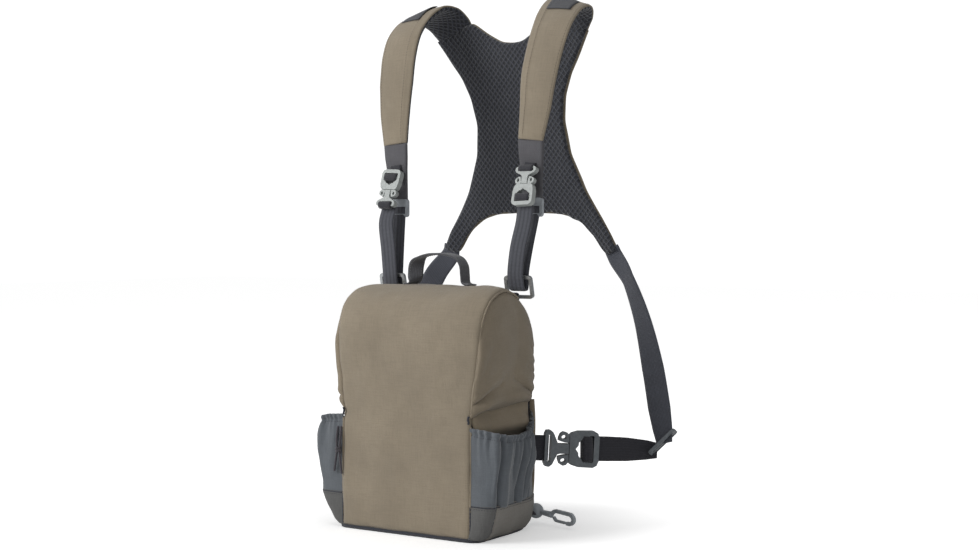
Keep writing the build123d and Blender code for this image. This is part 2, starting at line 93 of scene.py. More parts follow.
# ---- materials
class Shading:
    """Node tree of a material or of the world, with short ways to add nodes to it."""

    def __init__(self, owner):
        owner.use_nodes = True
        self.owner = owner
        self.tree = owner.node_tree

    def feed(self, node, inputs):
        """Link or set inputs of a node: each key is a socket's name or index."""
        for key, value in dict(inputs).items():
            socket = node.inputs[key]
            if isinstance(value, bpy.types.NodeSocket):
                self.tree.links.new(value, socket)
            elif socket.type == "RGBA":
                socket.default_value = (*value, 1.0)
            else:
                socket.default_value = value

    def node(self, kind, inputs=(), **settings):
        """New node with its settings and inputs."""
        node = self.tree.nodes.new("ShaderNode" + kind)
        for key, value in settings.items():
            setattr(node, key, value)
        self.feed(node, inputs)
        return node

    def math(self, operation, *values):
        """One Math node on sockets or numbers."""
        return self.node("Math", enumerate(values), operation=operation).outputs[0]

    def times(self, first, second):
        """Product."""
        return self.math("MULTIPLY", first, second)

    def plus(self, first, second):
        """Sum."""
        return self.math("ADD", first, second)

    def wave(self, value, period):
        """Sine wave over a coordinate."""
        return self.math("SINE", self.times(value, 2 * math.pi / period))

    def ramp(self, value, low, high):
        """Map low..high to 0..1, clamped."""
        return self.node("MapRange", {"Value": value, "From Min": low, "From Max": high}).outputs["Result"]

    def mix(self, factor, first, second):
        """Mix of two colours."""
        return self.node("Mix", {0: factor, 6: first, 7: second}, data_type="RGBA").outputs[2]


class Surface(Shading):
    """New material with its Principled shader and its texture coordinates in metres."""

    def __init__(self, name):
        super().__init__(bpy.data.materials.new(name))
        self.shader = self.tree.nodes["Principled BSDF"]
        self.coords = self.node("TexCoord").outputs

    def axes(self, kind="UV"):
        """The three coordinates, one by one."""
        return self.node("SeparateXYZ", {0: self.coords[kind]}).outputs[:]

    def noise(self, scale, detail=3.0, rough=0.55, place=None):
        """Noise in cells per metre of the object, or over another vector."""
        place = self.coords["Object"] if place is None else place
        inputs = {"Vector": place, "Scale": scale, "Detail": detail, "Roughness": rough}
        return self.node("TexNoise", inputs).outputs["Fac"]

    def streaks(self, u, v, across, along):
        """Noise drawn out along one yarn direction."""
        place = self.node("CombineXYZ", {0: self.times(u, across), 1: self.times(v, along)}).outputs[0]
        return self.noise(1.0, 2.0, 0.5, place)

    def finish(self, colour, roughness, height, strength, depth, others=None):
        """Link colour, roughness and bump, set the shader's other inputs, and give the material."""
        bump = self.node("Bump", {"Strength": strength, "Distance": depth, "Height": height})
        self.feed(self.shader, {"Base Color": colour, "Roughness": roughness,
                                "Normal": bump.outputs["Normal"], **(others or {})})
        return self.owner


def shade(colour, factor):
    """Colour times a factor."""
    return tuple(min(1.0, channel * factor) for channel in colour)


def woven(name, colour, pitch=0.0007, bump=0.35, rough=0.85, sheen=0.25, mottle=0.12, wear=0.10):
    """Plain-woven cloth: crossing yarns, slow colour drift, darker specks and slubs, light wear."""
    cloth = Surface(name)
    u, v, _ = cloth.axes()
    weave = cloth.times(cloth.wave(u, pitch), cloth.wave(v, pitch))
    drift = cloth.noise(18.0, 4.0, 0.6)
    yarn = cloth.noise(900.0, 2.0, 0.7)
    slubs = cloth.plus(cloth.streaks(u, v, 900.0, 60.0), cloth.streaks(u, v, 60.0, 900.0))
    worn = cloth.ramp(cloth.noise(45.0, 6.0, 0.7), 0.58, 0.75)
    base = cloth.mix(cloth.ramp(drift, 0.3, 0.7), shade(colour, 1.0 - mottle), shade(colour, 1.0 + mottle))
    base = cloth.mix(cloth.times(cloth.ramp(yarn, 0.35, 0.75), 0.35), base, shade(colour, 0.78))
    base = cloth.mix(cloth.times(cloth.ramp(slubs, 0.9, 1.2), 0.28), base, shade(colour, 0.70))
    base = cloth.mix(cloth.times(worn, wear), base, shade(colour, 1.5))
    height = cloth.plus(cloth.times(weave, 0.4), cloth.times(yarn, 1.2))
    height = cloth.plus(height, cloth.times(slubs, 1.5))
    roughness = cloth.plus(cloth.times(drift, 0.12), rough - 0.08)
    return cloth.finish(base, roughness, height, bump, 0.00025,
                        {"Sheen Weight": sheen, "Sheen Roughness": 0.5, "Specular IOR Level": 0.3})


def webbing(name, colour, rib=0.0016):
    """Flat webbing: ribs along its length and fine slanted cross yarns."""
    tape = Surface(name)
    u, v, _ = tape.axes()
    ribs = tape.math("ABSOLUTE", tape.wave(u, 2 * rib))
    slant = tape.plus(tape.times(v, 2 * math.pi / 0.0013), tape.times(ribs, 2.2))
    height = tape.plus(ribs, tape.times(tape.math("SINE", slant), 0.35))
    drift = tape.noise(60.0, 5.0, 0.65)
    # colour follows the rib height: painted shade in the hollows between the ribs and painted highlight on
    # their crests
    base = tape.mix(tape.ramp(height, 0.1, 1.2), shade(colour, 0.62), shade(colour, 1.18))
    base = tape.mix(tape.times(tape.ramp(drift, 0.5, 0.8), 0.4), base, shade(colour, 1.45))
    return tape.finish(base, tape.plus(tape.times(drift, 0.2), 0.62), height, 0.5, 0.0004,
                       {"Sheen Weight": 0.3, "Specular IOR Level": 0.35})


MESH_COLOUR = (0.033, 0.037, 0.052)
MESH_CELL = 0.0058


def spacer_mesh(name, flat):
    """Spacer mesh: staggered rounded cells, with painted highlight on the raised net and painted shade in the
    dark hollows.
    """
    net = Surface(name)
    x, y, z = net.axes("Object" if flat else "UV")
    across = net.times(net.plus(x, net.times(net.noise(90.0, 2.0), 0.0009)), math.pi / MESH_CELL)
    along = net.times(z if flat else y, math.pi / (MESH_CELL * 1.15))
    slopes = [net.math("ABSOLUTE", net.math("SINE", net.math(way, across, along)))
              for way in ("ADD", "SUBTRACT")]
    raised = net.math("SUBTRACT", 1.0, net.math("POWER", net.times(*slopes), 0.55))
    fine = net.noise(1500.0, 2.0, 0.6)
    # colour follows the net's height: painted shade in the hollows, painted highlight on the raised net
    base = net.mix(net.ramp(raised, 0.15, 0.85), shade(MESH_COLOUR, 0.28), shade(MESH_COLOUR, 1.5))
    base = net.mix(net.times(fine, 0.35), base, shade(MESH_COLOUR, 0.5))
    height = net.plus(raised, net.times(fine, 0.25))
    return net.finish(base, net.plus(net.times(fine, 0.2), 0.6), height, 0.9, 0.0012,
                      {"Sheen Weight": 0.35})


def moulded(name, colour):
    """Moulded plastic: fine spark-eroded grain, slow tone drift and rubbed edges."""
    plastic = Surface(name)
    drift = plastic.noise(70.0, 4.0, 0.6)
    edge = plastic.ramp(plastic.node("NewGeometry").outputs["Pointiness"], 0.505, 0.56)
    scuff = plastic.times(edge, plastic.ramp(plastic.noise(300.0, 4.0), 0.4, 0.7))
    base = plastic.mix(plastic.ramp(drift, 0.3, 0.7), shade(colour, 0.9), shade(colour, 1.08))
    base = plastic.mix(plastic.times(scuff, 0.45), base, shade(colour, 1.5))
    grain = plastic.noise(2600.0, 3.0, 0.6)
    return plastic.finish(base, plastic.plus(plastic.times(drift, 0.22), 0.32), grain, 0.25, 0.0001)


def brushed(name, colour):
    """Satin anodised metal with fine draw marks."""
    metal = Surface(name)
    drawn = metal.node("Mapping", {"Vector": metal.coords["Object"], "Scale": (0.08, 1.0, 1.0)})
    marks = metal.noise(800.0, 2.0, 0.5, drawn.outputs["Vector"])
    base = metal.mix(metal.ramp(marks, 0.3, 0.7), shade(colour, 0.85), shade(colour, 1.1))
    return metal.finish(base, metal.plus(metal.times(marks, 0.25), 0.28), marks, 0.15, 0.0001,
                        {"Metallic": 0.85})


TAN = (0.304, 0.254, 0.186)
# the side colour: the same tan cloth made a little darker, painted shade for the pieces on the pack's sides
TAN_PAINTED_SIDE_SHADE = (0.296, 0.245, 0.178)
SLATE = (0.118, 0.131, 0.146)
OLIVE_GREY = (0.255, 0.240, 0.218)
CHARCOAL = (0.078, 0.082, 0.099)
NAVY = (0.034, 0.037, 0.050)
LAMINATE = {"pitch": 0.0013, "bump": 0.55, "rough": 0.7, "sheen": 0.1}
mats = {
    "tan": woven("tan_fabric", TAN),
    # side fabric: a shaded copy of the tan cloth, painted shade on the lid's sides, the piping and the rear
    # edges
    "tan_painted_side_shade": woven("tan_side_fabric", TAN_PAINTED_SIDE_SHADE),
    # wall fabric: the side colour made 1.3 times lighter, painted bounce light on the body's side walls, which
    # sit in the pockets' shade
    "wall": woven("wall_fabric", shade(TAN_PAINTED_SIDE_SHADE, 1.3)),
    "stretch": woven("stretch_fabric", shade(SLATE, 1.1), pitch=0.0010, bump=0.5, sheen=0.35),
    "kick": woven("laminate_fabric", OLIVE_GREY, **LAMINATE),
    "kick_front": woven("front_laminate", (0.131, 0.131, 0.128), **LAMINATE),
    "tab": woven("tab_laminate", (0.108, 0.106, 0.116), pitch=0.0021, bump=0.9, rough=0.65, sheen=0.1,
                 mottle=0.25, wear=0.5),
    "patch": woven("patch_laminate", (0.085, 0.088, 0.098), pitch=0.0012, bump=0.5, rough=0.6, sheen=0.1),
    "base": woven("base_fabric", (0.10, 0.10, 0.105), pitch=0.0013, bump=0.5, rough=0.75),
    "binding": webbing("binding_tape", NAVY, rib=0.0011),
    "webbing": webbing("webbing", CHARCOAL, rib=0.0044),
    "web_dark": webbing("dark_webbing", (0.034, 0.034, 0.043)),
    "web_fine": webbing("fine_webbing", (0.084, 0.090, 0.112)),
    "handle": webbing("handle_webbing", (0.112, 0.115, 0.128)),
    "mesh": spacer_mesh("spacer_mesh", flat=False),
    "mesh_flat": spacer_mesh("yoke_spacer_mesh", flat=True),
    "cord": webbing("braided_cord", (0.075, 0.068, 0.082), rib=0.0009),
    "light": moulded("light_plastic", (0.37, 0.395, 0.385)),
    "slate": moulded("slate_plastic", (0.145, 0.160, 0.174)),
    # the hook's plastic: the slate plastic made far lighter, painted light to offset the pack's shadow over the
    # hook
    "slate_painted_lit": moulded("light_slate_plastic", (0.39, 0.42, 0.45)),
    "ring": brushed("ring_metal", (0.50, 0.52, 0.53)),
    "thread": woven("thread", (0.20, 0.17, 0.13), pitch=0.0004),
    "thread_dark": woven("dark_thread", (0.055, 0.055, 0.065), pitch=0.0004),
    "thread_grey": woven("grey_thread", (0.24, 0.24, 0.25), pitch=0.0004),
}


def finish_piece(obj, material, body=None, replaces=()):
    """Material, body and replaced nodes of one piece."""
    obj.data.materials.append(mats[material])
    if body:
        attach(obj, body)
    if replaces:
        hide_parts(*replaces)
    return obj


# ---- drawcord, before other pieces
CORD_D = 0.0022
CORDS = {
    "drawcord_inner": ([(-0.0766, -0.0516, 0.097), (-0.0762, -0.0536, 0.086), (-0.0772, -0.0542, 0.0745),
                        (-0.0756, -0.0544, 0.063), (-0.0742, -0.0540, 0.052)], 0.0454),
    "drawcord_outer": ([(-0.0804, -0.0516, 0.097), (-0.0809, -0.0538, 0.0865), (-0.0796, -0.0542, 0.075),
                        (-0.0814, -0.0544, 0.064), (-0.0834, -0.0540, 0.054)], 0.0436),
}


def cord_curve(name, route, bevel_steps, steps):
    """Cord as one open NURBS spline through its route's control points, in metres."""
    curve = bpy.data.curves.new(name, "CURVE")
    curve.dimensions = "3D"
    curve.bevel_depth = CORD_D / 2
    curve.bevel_resolution = bevel_steps
    curve.use_fill_caps = True
    spline = curve.splines.new("NURBS")
    spline.points.add(len(route) - 1)
    for point, corner in zip(spline.points, route):
        point.co = (*corner, 1.0)
    spline.order_u = 3
    spline.use_endpoint_u = True
    spline.resolution_u = steps
    return link(name, curve)


for cord_name, (cord_route, cord_length) in CORDS.items():
    cord = cord_curve(cord_name + "_line", cord_route, 4, 16)
    finish_piece(cord, "cord", "pouch", (cord_name,))


# ---- mesh tools, in millimetres
def run_length(points):
    """Length along a polyline up to each of its points."""
    return np.concatenate([[0], np.cumsum(np.linalg.norm(np.diff(points, axis=0), axis=1))])


def resample(points, samples):
    """Points evenly spaced along a polyline."""
    points = np.array(points, float)
    total = run_length(points)
    wanted = np.linspace(0, total[-1], samples)
    return np.stack([np.interp(wanted, total, points[:, k]) for k in range(points.shape[1])], axis=1)


def smooth_path(points, samples):
    """Catmull-Rom curve through points, evenly spaced by length."""
    points = np.array(points, float)
    padded = np.vstack([2 * points[0] - points[1], points, 2 * points[-1] - points[-2]])
    fine = []
    for index in range(1, len(padded) - 2):
        p0, p1, p2, p3 = padded[index - 1:index + 3]
        for t in np.linspace(0, 1, 24, endpoint=False):
            fine.append(0.5 * (2 * p1 + (p2 - p0) * t + (2 * p0 - 5 * p1 + 4 * p2 - p3) * t * t
                               + (3 * p1 - p0 - 3 * p2 + p3) * t ** 3))
    fine.append(padded[-2])
    return resample(np.array(fine), samples)


def soft_noise(points, scale, seed=0.0):
    """Smooth noise, about -0.5..0.5, at each point of a grid."""
    shift = Vector((seed, seed * 1.7, -seed))
    values = [noise.noise(Vector(p) * scale + shift) for p in points.reshape(-1, 3)]
    return np.array(values).reshape(points.shape[:2])


def mesh_object(name, verts, faces, uvs=None):
    """Smooth mesh object from points, faces and the points' UVs."""
    mesh = bpy.data.meshes.new(name)
    mesh.from_pydata([tuple(v) for v in np.array(verts) * MM], [], faces)
    layer = mesh.uv_layers.new(name="UVMap")
    if uvs is not None:
        corners = np.empty(len(mesh.loops), dtype=np.int32)
        mesh.loops.foreach_get("vertex_index", corners)
        layer.data.foreach_set("uv", (np.array(uvs) * MM)[corners].reshape(-1))
    mesh.polygons.foreach_set("use_smooth", [True] * len(mesh.polygons))
    return link(name, mesh)


class Panel:
    """Closed padded sheet over a grid of middle-surface points."""

    def __init__(self, name, grid, thick, edge=None, rim=0.3, outer=0.0, inner=0.0, flip=False):
        self.grid = np.array(grid, float)
        normal = np.cross(np.gradient(self.grid, axis=0), np.gradient(self.grid, axis=1))
        normal /= np.linalg.norm(normal, axis=2, keepdims=True) + 1e-9
        self.normal = -normal if flip else normal
        step_u = np.linalg.norm(np.diff(self.grid, axis=0), axis=2)
        step_v = np.linalg.norm(np.diff(self.grid, axis=1), axis=2)
        self.len_u = np.vstack([np.zeros((1, step_u.shape[1])), np.cumsum(step_u, axis=0)])
        self.len_v = np.hstack([np.zeros((step_v.shape[0], 1)), np.cumsum(step_v, axis=1)])
        border = np.minimum(np.minimum(self.len_u, self.len_u[-1:] - self.len_u),
                            np.minimum(self.len_v, self.len_v[:, -1:] - self.len_v))
        near = np.clip(border / (thick * 0.8 if edge is None else edge), 0, 1)
        fullness = rim + (1 - rim) * np.sqrt(np.clip(1 - (1 - near) ** 2, 0, 1))
        half = 0.5 * thick * fullness
        self.outer = self.grid + self.normal * (half + outer)[..., None]
        self.inner = self.grid - self.normal * (half + inner)[..., None]
        self.object = self.build(name)

    def build(self, name):
        """Mesh with an outer face, an inner face and a rim."""
        count_u, count_v = self.grid.shape[:2]
        total = count_u * count_v
        faces = []
        for i in range(count_u - 1):
            for j in range(count_v - 1):
                a = i * count_v + j
                b = a + count_v
                faces.append((a, b, b + 1, a + 1))
                faces.append((a + total, a + 1 + total, b + 1 + total, b + total))
        ring = [i * count_v for i in range(count_u)]
        ring += [(count_u - 1) * count_v + j for j in range(1, count_v)]
        ring += [i * count_v + count_v - 1 for i in range(count_u - 2, -1, -1)]
        ring += list(range(count_v - 2, 0, -1))
        for here, after in zip(ring, ring[1:] + ring[:1]):
            faces.append((here, here + total, after + total, after))
        verts = np.vstack([self.outer.reshape(-1, 3), self.inner.reshape(-1, 3)])
        uvs = np.tile(np.stack([self.len_u, self.len_v], axis=-1).reshape(-1, 2), (2, 1))
        obj = mesh_object(name, verts, faces, uvs)
        obj.data.validate()
        obj.data.update()
        return obj

    def at(self, s, t, lift=0.0):
        """Point on the outer face at grid fractions s, t, and the normal there."""
        count_u, count_v = self.grid.shape[:2]
        x, y = s * (count_u - 1), t * (count_v - 1)
        i, j = min(int(x), count_u - 2), min(int(y), count_v - 2)
        fx, fy = x - i, y - j
        face = self.outer
        point = (face[i, j] * (1 - fx) * (1 - fy) + face[i + 1, j] * fx * (1 - fy)
                 + face[i, j + 1] * (1 - fx) * fy + face[i + 1, j + 1] * fx * fy)
        return point + self.normal[i, j] * lift, self.normal[i, j]

    def dress(self, material, body, replaced):
        finish_piece(self.object, material, body, replaced)


def down(column, count, first, last):
    """Stitch path along a column of a panel: fractions k / count from first up to last."""
    return [(column, k / count) for k in range(first, last)]


def along(row, count, first, last):
    """Stitch path along a row of a panel: fractions k / count from first up to last."""
    return [(k / count, row) for k in range(first, last)]


def stitches(name, panel, path, material="thread", body=None, pitch=3.0, long=2.0, wide=0.55):
    """Row of thread stitches along a path of (s, t) fractions on a panel's outer face."""
    points, normals = (np.array(values) for values in zip(*(panel.at(s, t, 0.05) for s, t in path)))
    steps = run_length(points)
    verts, faces = [], []
    distance = pitch / 2
    while distance + long < steps[-1]:
        start, end = (np.array([np.interp(d, steps, points[:, k]) for k in range(3)])
                      for d in (distance, distance + long))
        up = np.array([np.interp(distance, steps, normals[:, k]) for k in range(3)])
        forward = (end - start) / (np.linalg.norm(end - start) + 1e-9)
        across = np.cross(up, forward) * wide / 2
        first = len(verts)
        for fraction, lift, spread in ((0, -0.15, 0.5), (0.25, 0.32, 1), (0.75, 0.32, 1), (1, -0.15, 0.5)):
            centre = start + (end - start) * fraction + up * lift
            verts += [centre - across * spread - up * 0.2, centre, centre + across * spread - up * 0.2,
                      centre - up * 0.45]
        for k in range(3):
            for m in range(4):
                a, b = first + 4 * k + m, first + 4 * k + (m + 1) % 4
                faces.append((a, a + 4, b + 4, b))
        faces += [(first, first + 1, first + 2, first + 3), (first + 15, first + 14, first + 13, first + 12)]
        distance += pitch
    return finish_piece(mesh_object(name, verts, faces), material, body, ())


def tube(name, line, rings, girth, closed, material, body, replaced):
    """Tube through rings of points round a line, closed on itself or capped at both ends."""
    count, ring = len(rings), len(rings[0])
    faces = []
    for k in range(count if closed else count - 1):
        here, after = k * ring, (k + 1) % count * ring
        for m in range(ring):
            n = (m + 1) % ring
            faces.append((here + m, here + n, after + n, after + m))
    if not closed:
        faces.append(tuple(range(ring - 1, -1, -1)))
        faces.append(tuple(range((count - 1) * ring, count * ring)))
    uvs = [(turn * girth, travel) for travel in run_length(line) for turn in turns(ring)]
    obj = mesh_object(name, np.reshape(rings, (-1, 3)), faces, uvs)
    return finish_piece(obj, material, body, replaced)


def turns(ring):
    """Angles of the points of a ring."""
    return [2 * math.pi * m / ring for m in range(ring)]


def bead(name, line, radius, material, body, replaced=()):
    """Thin sewn bead or binding: a slightly uneven capped tube along a line."""
    line = np.array(line, float)
    rings = []
    for k, (point, tangent) in enumerate(zip(line, np.gradient(line, axis=0))):
        tangent = tangent / np.linalg.norm(tangent)
        first = np.cross(tangent, (1, 0, 0) if abs(tangent[0]) < 0.8 else (0, 0, 1))
        first /= np.linalg.norm(first)
        second = np.cross(tangent, first)
        size = radius * (1 + 0.12 * math.sin(k * 1.7))
        rings.append([point + (first * math.cos(turn) + second * math.sin(turn)) * size
                      for turn in turns(8)])
    return tube(name, line, rings, radius, False, material, body, replaced)



def strap_grid(points, acrosses, widths, samples, columns, rise=0.0, curl=0.0):
    """Middle surface of a strap along a path; one direction across or one width may serve all of it."""
    acrosses = np.array(acrosses if np.ndim(acrosses) > 1 else [acrosses] * len(points), float)
    widths = widths if np.ndim(widths) else [widths] * len(points)
    centre = smooth_path(points, samples)
    if len(set(widths)) > 1:
        stations = run_length(np.array(points, float))
        stations, places = stations / stations[-1], np.linspace(0, 1, samples)
        width = np.interp(places, stations, widths)
        across = np.stack([np.interp(places, stations, acrosses[:, k]) for k in range(3)], axis=1)
    else:
        width = np.full(samples, float(widths[0]))
        turning = np.ptp(acrosses, axis=0).any()
        across = smooth_path(acrosses, samples) if turning else np.tile(acrosses[0], (samples, 1))
    forward = np.gradient(centre, axis=0)
    forward /= np.linalg.norm(forward, axis=1, keepdims=True)
    across = across - forward * np.sum(across * forward, axis=1, keepdims=True)
    across /= np.linalg.norm(across, axis=1, keepdims=True)
    normal = np.cross(forward, across)
    spread = np.linspace(-0.5, 0.5, columns)
    grid = (centre[:, None] + across[:, None] * (width[:, None] * spread[None])[..., None]
            + normal[:, None] * (rise + curl * (2 * spread[None]) ** 2)[..., None])
    return grid.transpose(1, 0, 2)


def strap(name, material, points, acrosses, widths, thick, samples=60, columns=13, rise=0.0, curl=0.0,
          flip=False, rim=0.45, edge=None, body="harness", replaces=(), ripple=0.0):
    """Finished strap piece; columns run across the strap and rows along it."""
    grid = strap_grid(points, acrosses, widths, samples, columns, rise, curl)
    bumps = soft_noise(grid, 0.06, len(name)) * ripple if ripple else 0.0
    panel = Panel(name, grid, thick, edge=edge, rim=rim, flip=flip, outer=bumps)
    finish_piece(panel.object, material, body, replaces)
    return panel


def sided(points, side):
    """Mirror left-hand points to the wanted side."""
    return [(side * x, y, z) for x, y, z in points]


def upright(points, samples):
    """Smooth curve through (y, z) places, as points with X 0."""
    return smooth_path([(0, y, z) for y, z in points], samples)


def ridge(distance, width):
    """Bell curve: 1 at distance 0, fading over the width."""
    return np.exp(-(distance / width) ** 2)


# ---- front panel: base to lid, in one piece
HINGE_Z = 113
FRONT_COLUMNS, FRONT_ROWS = 61, 110
FRONT_CENTRE = [(-51, 3.4), (-51.4, 40), (-51.2, 80), (-50.6, HINGE_Z), (-52, 150), (-51.8, 184),
                (-47.6, 206), (-37, 220.5), (-22, 227.6), (-4, 230.2), (18.5, 228.4)]
FRONT_SEAM = [(-50.2, 3.4), (-50.4, 40), (-50.2, 80), (-49.6, HINGE_Z), (-49.6, 150), (-47.6, 188),
              (-44, 204), (-35, 217.5), (-22, 225), (-6, 228.4), (9, 225.6), (18.5, 221)]
FRONT_HALF_WIDTH = ([3, 60, HINGE_Z, 150, 190, 205, 230], [74.2, 74.8, 74.6, 76.4, 79.0, 79.8, 80.4])
LID_FLARE = ([HINGE_Z, 135, 150, 175, 230], [0, 1.6, 3.4, 4.8, 4.8])
RIGHT_FLARE = 0.35


def lid_flare(y, z, side):
    """How far the full lid spreads sideways beyond the pouch, most at its front left-hand corner."""
    flare = np.interp(z, *LID_FLARE) * np.clip((12 - y) / 50, 0, 1)
    return flare if side > 0 else RIGHT_FLARE * flare


def profile_grid():
    """Front and top panel: flat and upright below, domed over the lid, softer towards its side seams."""
    centre, seam = smooth_path(FRONT_CENTRE, FRONT_ROWS), smooth_path(FRONT_SEAM, FRONT_ROWS)
    grid = np.zeros((FRONT_COLUMNS, FRONT_ROWS, 3))
    for i, s in enumerate(np.linspace(-1, 1, FRONT_COLUMNS)):
        weight = abs(s) ** 4.5
        y, z = (centre * (1 - weight) + seam * weight).T
        half = np.interp(z, *FRONT_HALF_WIDTH) + lid_flare(y, z, s)
        grid[i] = np.stack([s * half, y, z], axis=1)
    return grid


front_grid = profile_grid()
wander = soft_noise(front_grid, 0.022, 3.0) * 2.2 + soft_noise(front_grid, 0.06, 9.0) * 0.7
across_s = np.linspace(-1, 1, FRONT_COLUMNS)[:, None]
pinch = -1.3 * ridge(front_grid[:, :, 2] - HINGE_Z, 5.0) * np.abs(across_s) ** 6
hem = -0.5 * ridge(np.abs(across_s) - 0.955, 0.012)
front = Panel("front_skin", front_grid, 4.8, edge=4.0, rim=0.35, outer=wander + pinch + hem)
finish_piece(front.object, "tan", None, ("front_panel", "lid_panel"))
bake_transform(front.object)


# ---- the lid's side walls
def coons(bottom, top, left, right, count_u, count_v):
    """Grid between four border polylines that share their corners."""
    bottom, top = resample(bottom, count_u), resample(top, count_u)
    left, right = resample(left, count_v), resample(right, count_v)
    u = np.linspace(0, 1, count_u)[:, None, None]
    v = np.linspace(0, 1, count_v)[None, :, None]
    ruled_v = bottom[:, None] * (1 - v) + top[:, None] * v
    ruled_u = left[None] * (1 - u) + right[None] * u
    corner = (bottom[0] * (1 - u) * (1 - v) + bottom[-1] * u * (1 - v)
              + top[0] * (1 - u) * v + top[-1] * u * v)
    return ruled_v + ruled_u - corner


def bulge(count_u, count_v, power):
    """0 on the border, 1 in the middle."""
    u = np.linspace(-1, 1, count_u)[:, None]
    v = np.linspace(-1, 1, count_v)[None]
    return (1 - np.abs(u) ** power) * (1 - np.abs(v) ** power)


def segment_distance(u, v, start, stop):
    """Distance of each panel point from a line between two (u, v) places."""
    run = np.array(stop) - np.array(start)
    t = np.clip(((u - start[0]) * run[0] + (v - start[1]) * run[1]) / (run @ run), 0, 1)
    return np.hypot(u - start[0] - t * run[0], v - start[1] - t * run[1])


GUSSET_U, GUSSET_V = 64, 56
GUSSET_LOW = [(-50, 113.6), (-44, 114.2), (-28, 116.6), (-12, 117.2), (6, 118.8), (22, 119.6), (38, 120.2),
              (50.2, 120.6)]
GUSSET_FRONT = [(-50, 113.6), (-49.8, 150), (-47.8, 186)]
GUSSET_REAR = [(50.2, 120.6), (50.4, 150), (47.2, 178)]
GUSSET_OVER = [(-47.8, 186), (-44.2, 203), (-35, 216.6), (-22, 224), (-6, 227.4), (9, 224.8), (19.5, 221),
               (32, 210.5), (41.5, 195.5), (47.2, 178)]
GUSSET_HALF_WIDTH = ([HINGE_Z, 150, 190, 205, 230], [73.4, 75.2, 77.6, 78.4, 79.0])
# wrinkles of the lid's sides: from, to, depth (raised when positive) and width
GUSSET_CREASES = (((0.03, 0.17), (0.40, 0.23), -2.0, 0.022), ((0.04, 0.24), (0.36, 0.31), 1.3, 0.04),
                  ((0.97, 0.14), (0.62, 0.26), -1.8, 0.022), ((0.96, 0.22), (0.66, 0.34), 1.1, 0.04),
                  ((0.05, 0.42), (0.22, 0.60), -0.7, 0.06), ((0.97, 0.48), (0.78, 0.42), -1.2, 0.022),
                  ((0.97, 0.72), (0.82, 0.66), -1.0, 0.022))
GUSSET_WRAP = {1: 3.0, -1: 6.5}  # how far each side stands out behind the front seam
GUSSET_FORWARD = {1: 0.8, -1: 2.2}  # how far its front edge laps over the front

for hand, side in SIDES:
    grid = coons(upright(GUSSET_LOW, 60), upright(GUSSET_OVER, 60), upright(GUSSET_FRONT, 40),
                 upright(GUSSET_REAR, 40), GUSSET_U, GUSSET_V)
    u_line = np.linspace(0, 1, GUSSET_U)[:, None]
    v_line = np.linspace(0, 1, GUSSET_V)[None]
    inside_ends = np.clip(8 * u_line, 0, 1) * np.clip(7 * (1 - u_line), 0, 1)
    roll = (6.4 + 1.2 * np.sin(11 * u_line)) * ridge(v_line - 0.10, 0.055) * inside_ends
    tuck_in = -4.4 * ridge(v_line, 0.035) * np.clip(5 * u_line, 0, 1)
    dimple = -2.2 * np.exp(-((u_line - 0.62) / 0.18) ** 2 - ((v_line - 0.30) / 0.07) ** 2)
    for start, stop, depth, spread in GUSSET_CREASES:
        dimple = dimple + depth * ridge(segment_distance(u_line, v_line, start, stop), spread)
    waves = 0.55 * np.sin(29 * v_line + 1.0) + 0.45 * np.sin(47 * v_line + 2.0)
    ruffle = 0.9 * ridge(1 - u_line, 0.045) * waves
    level_fade = 1 - np.abs(2 * v_line - 1) ** 6
    wrap = (1 - np.exp(-u_line / 0.022)) * np.exp(-u_line / 0.30) * level_fade
    seam_x = np.interp(grid[:, :, 2], *GUSSET_HALF_WIDTH) + lid_flare(grid[:, :, 1], grid[:, :, 2], side)
    seam_x = seam_x + GUSSET_WRAP[side] * wrap
    grid[:, :, 1] -= GUSSET_FORWARD[side] * ridge(u_line - 0.035, 0.03) * level_fade
    grid[:, :, 0] = (seam_x + 6.4 * bulge(GUSSET_U, GUSSET_V, 2.6) + roll + tuck_in + dimple + ruffle
                     + soft_noise(grid, 0.03, 5.0 + side) * 2.6)
    low_lift = 1.2 * np.sin(9 * u_line + 0.4) * ridge(v_line, 0.06)
    grid[:, :, 2] += low_lift * np.clip(8 * u_line * (1 - u_line), 0, 1)
    grid[:, :, 0] *= side
    gusset = Panel(f"lid_side_{hand}", grid, 3.0, edge=2.6, rim=0.5, flip=(side < 0))
    gusset.dress("tan_painted_side_shade", "lid", (f"lid_gusset_{hand}",))
    stitches(f"lid_side_stitch_{hand}", gusset, along(0.035, 40, 2, 39), "thread", "lid")


# ---- seam piping round the lid and the front
LID_PIPING_LOW, FRONT_PIPING_HIGH = 116.5, 106.5
for hand, side in SIDES:
    edge_column = front.grid[-1 if side > 0 else 0]
    run = resample(edge_column + np.array([side * 0.3, -0.3, 0.3]), 90)
    bead(f"lid_piping_{hand}", run[run[:, 2] > LID_PIPING_LOW], 1.0, "tan_painted_side_shade", "lid", ("lid_piping",))
    bead(f"front_piping_{hand}", run[run[:, 2] <= FRONT_PIPING_HIGH], 1.0, "tan_painted_side_shade", "pouch")
    # dark navy bead at each front corner of the lid's hinge: a dark piece standing in for the shaded slit
    # there, painted shade
    slit_shade_line = [(side * (73.2 + 0.4 * math.sin(0.9 * k)), -51.8, 108.5 + 0.8 * k) for k in range(10)]
    bead(f"hinge_slit_painted_shade_{hand}", slit_shade_line, 1.0, "binding", "pouch")

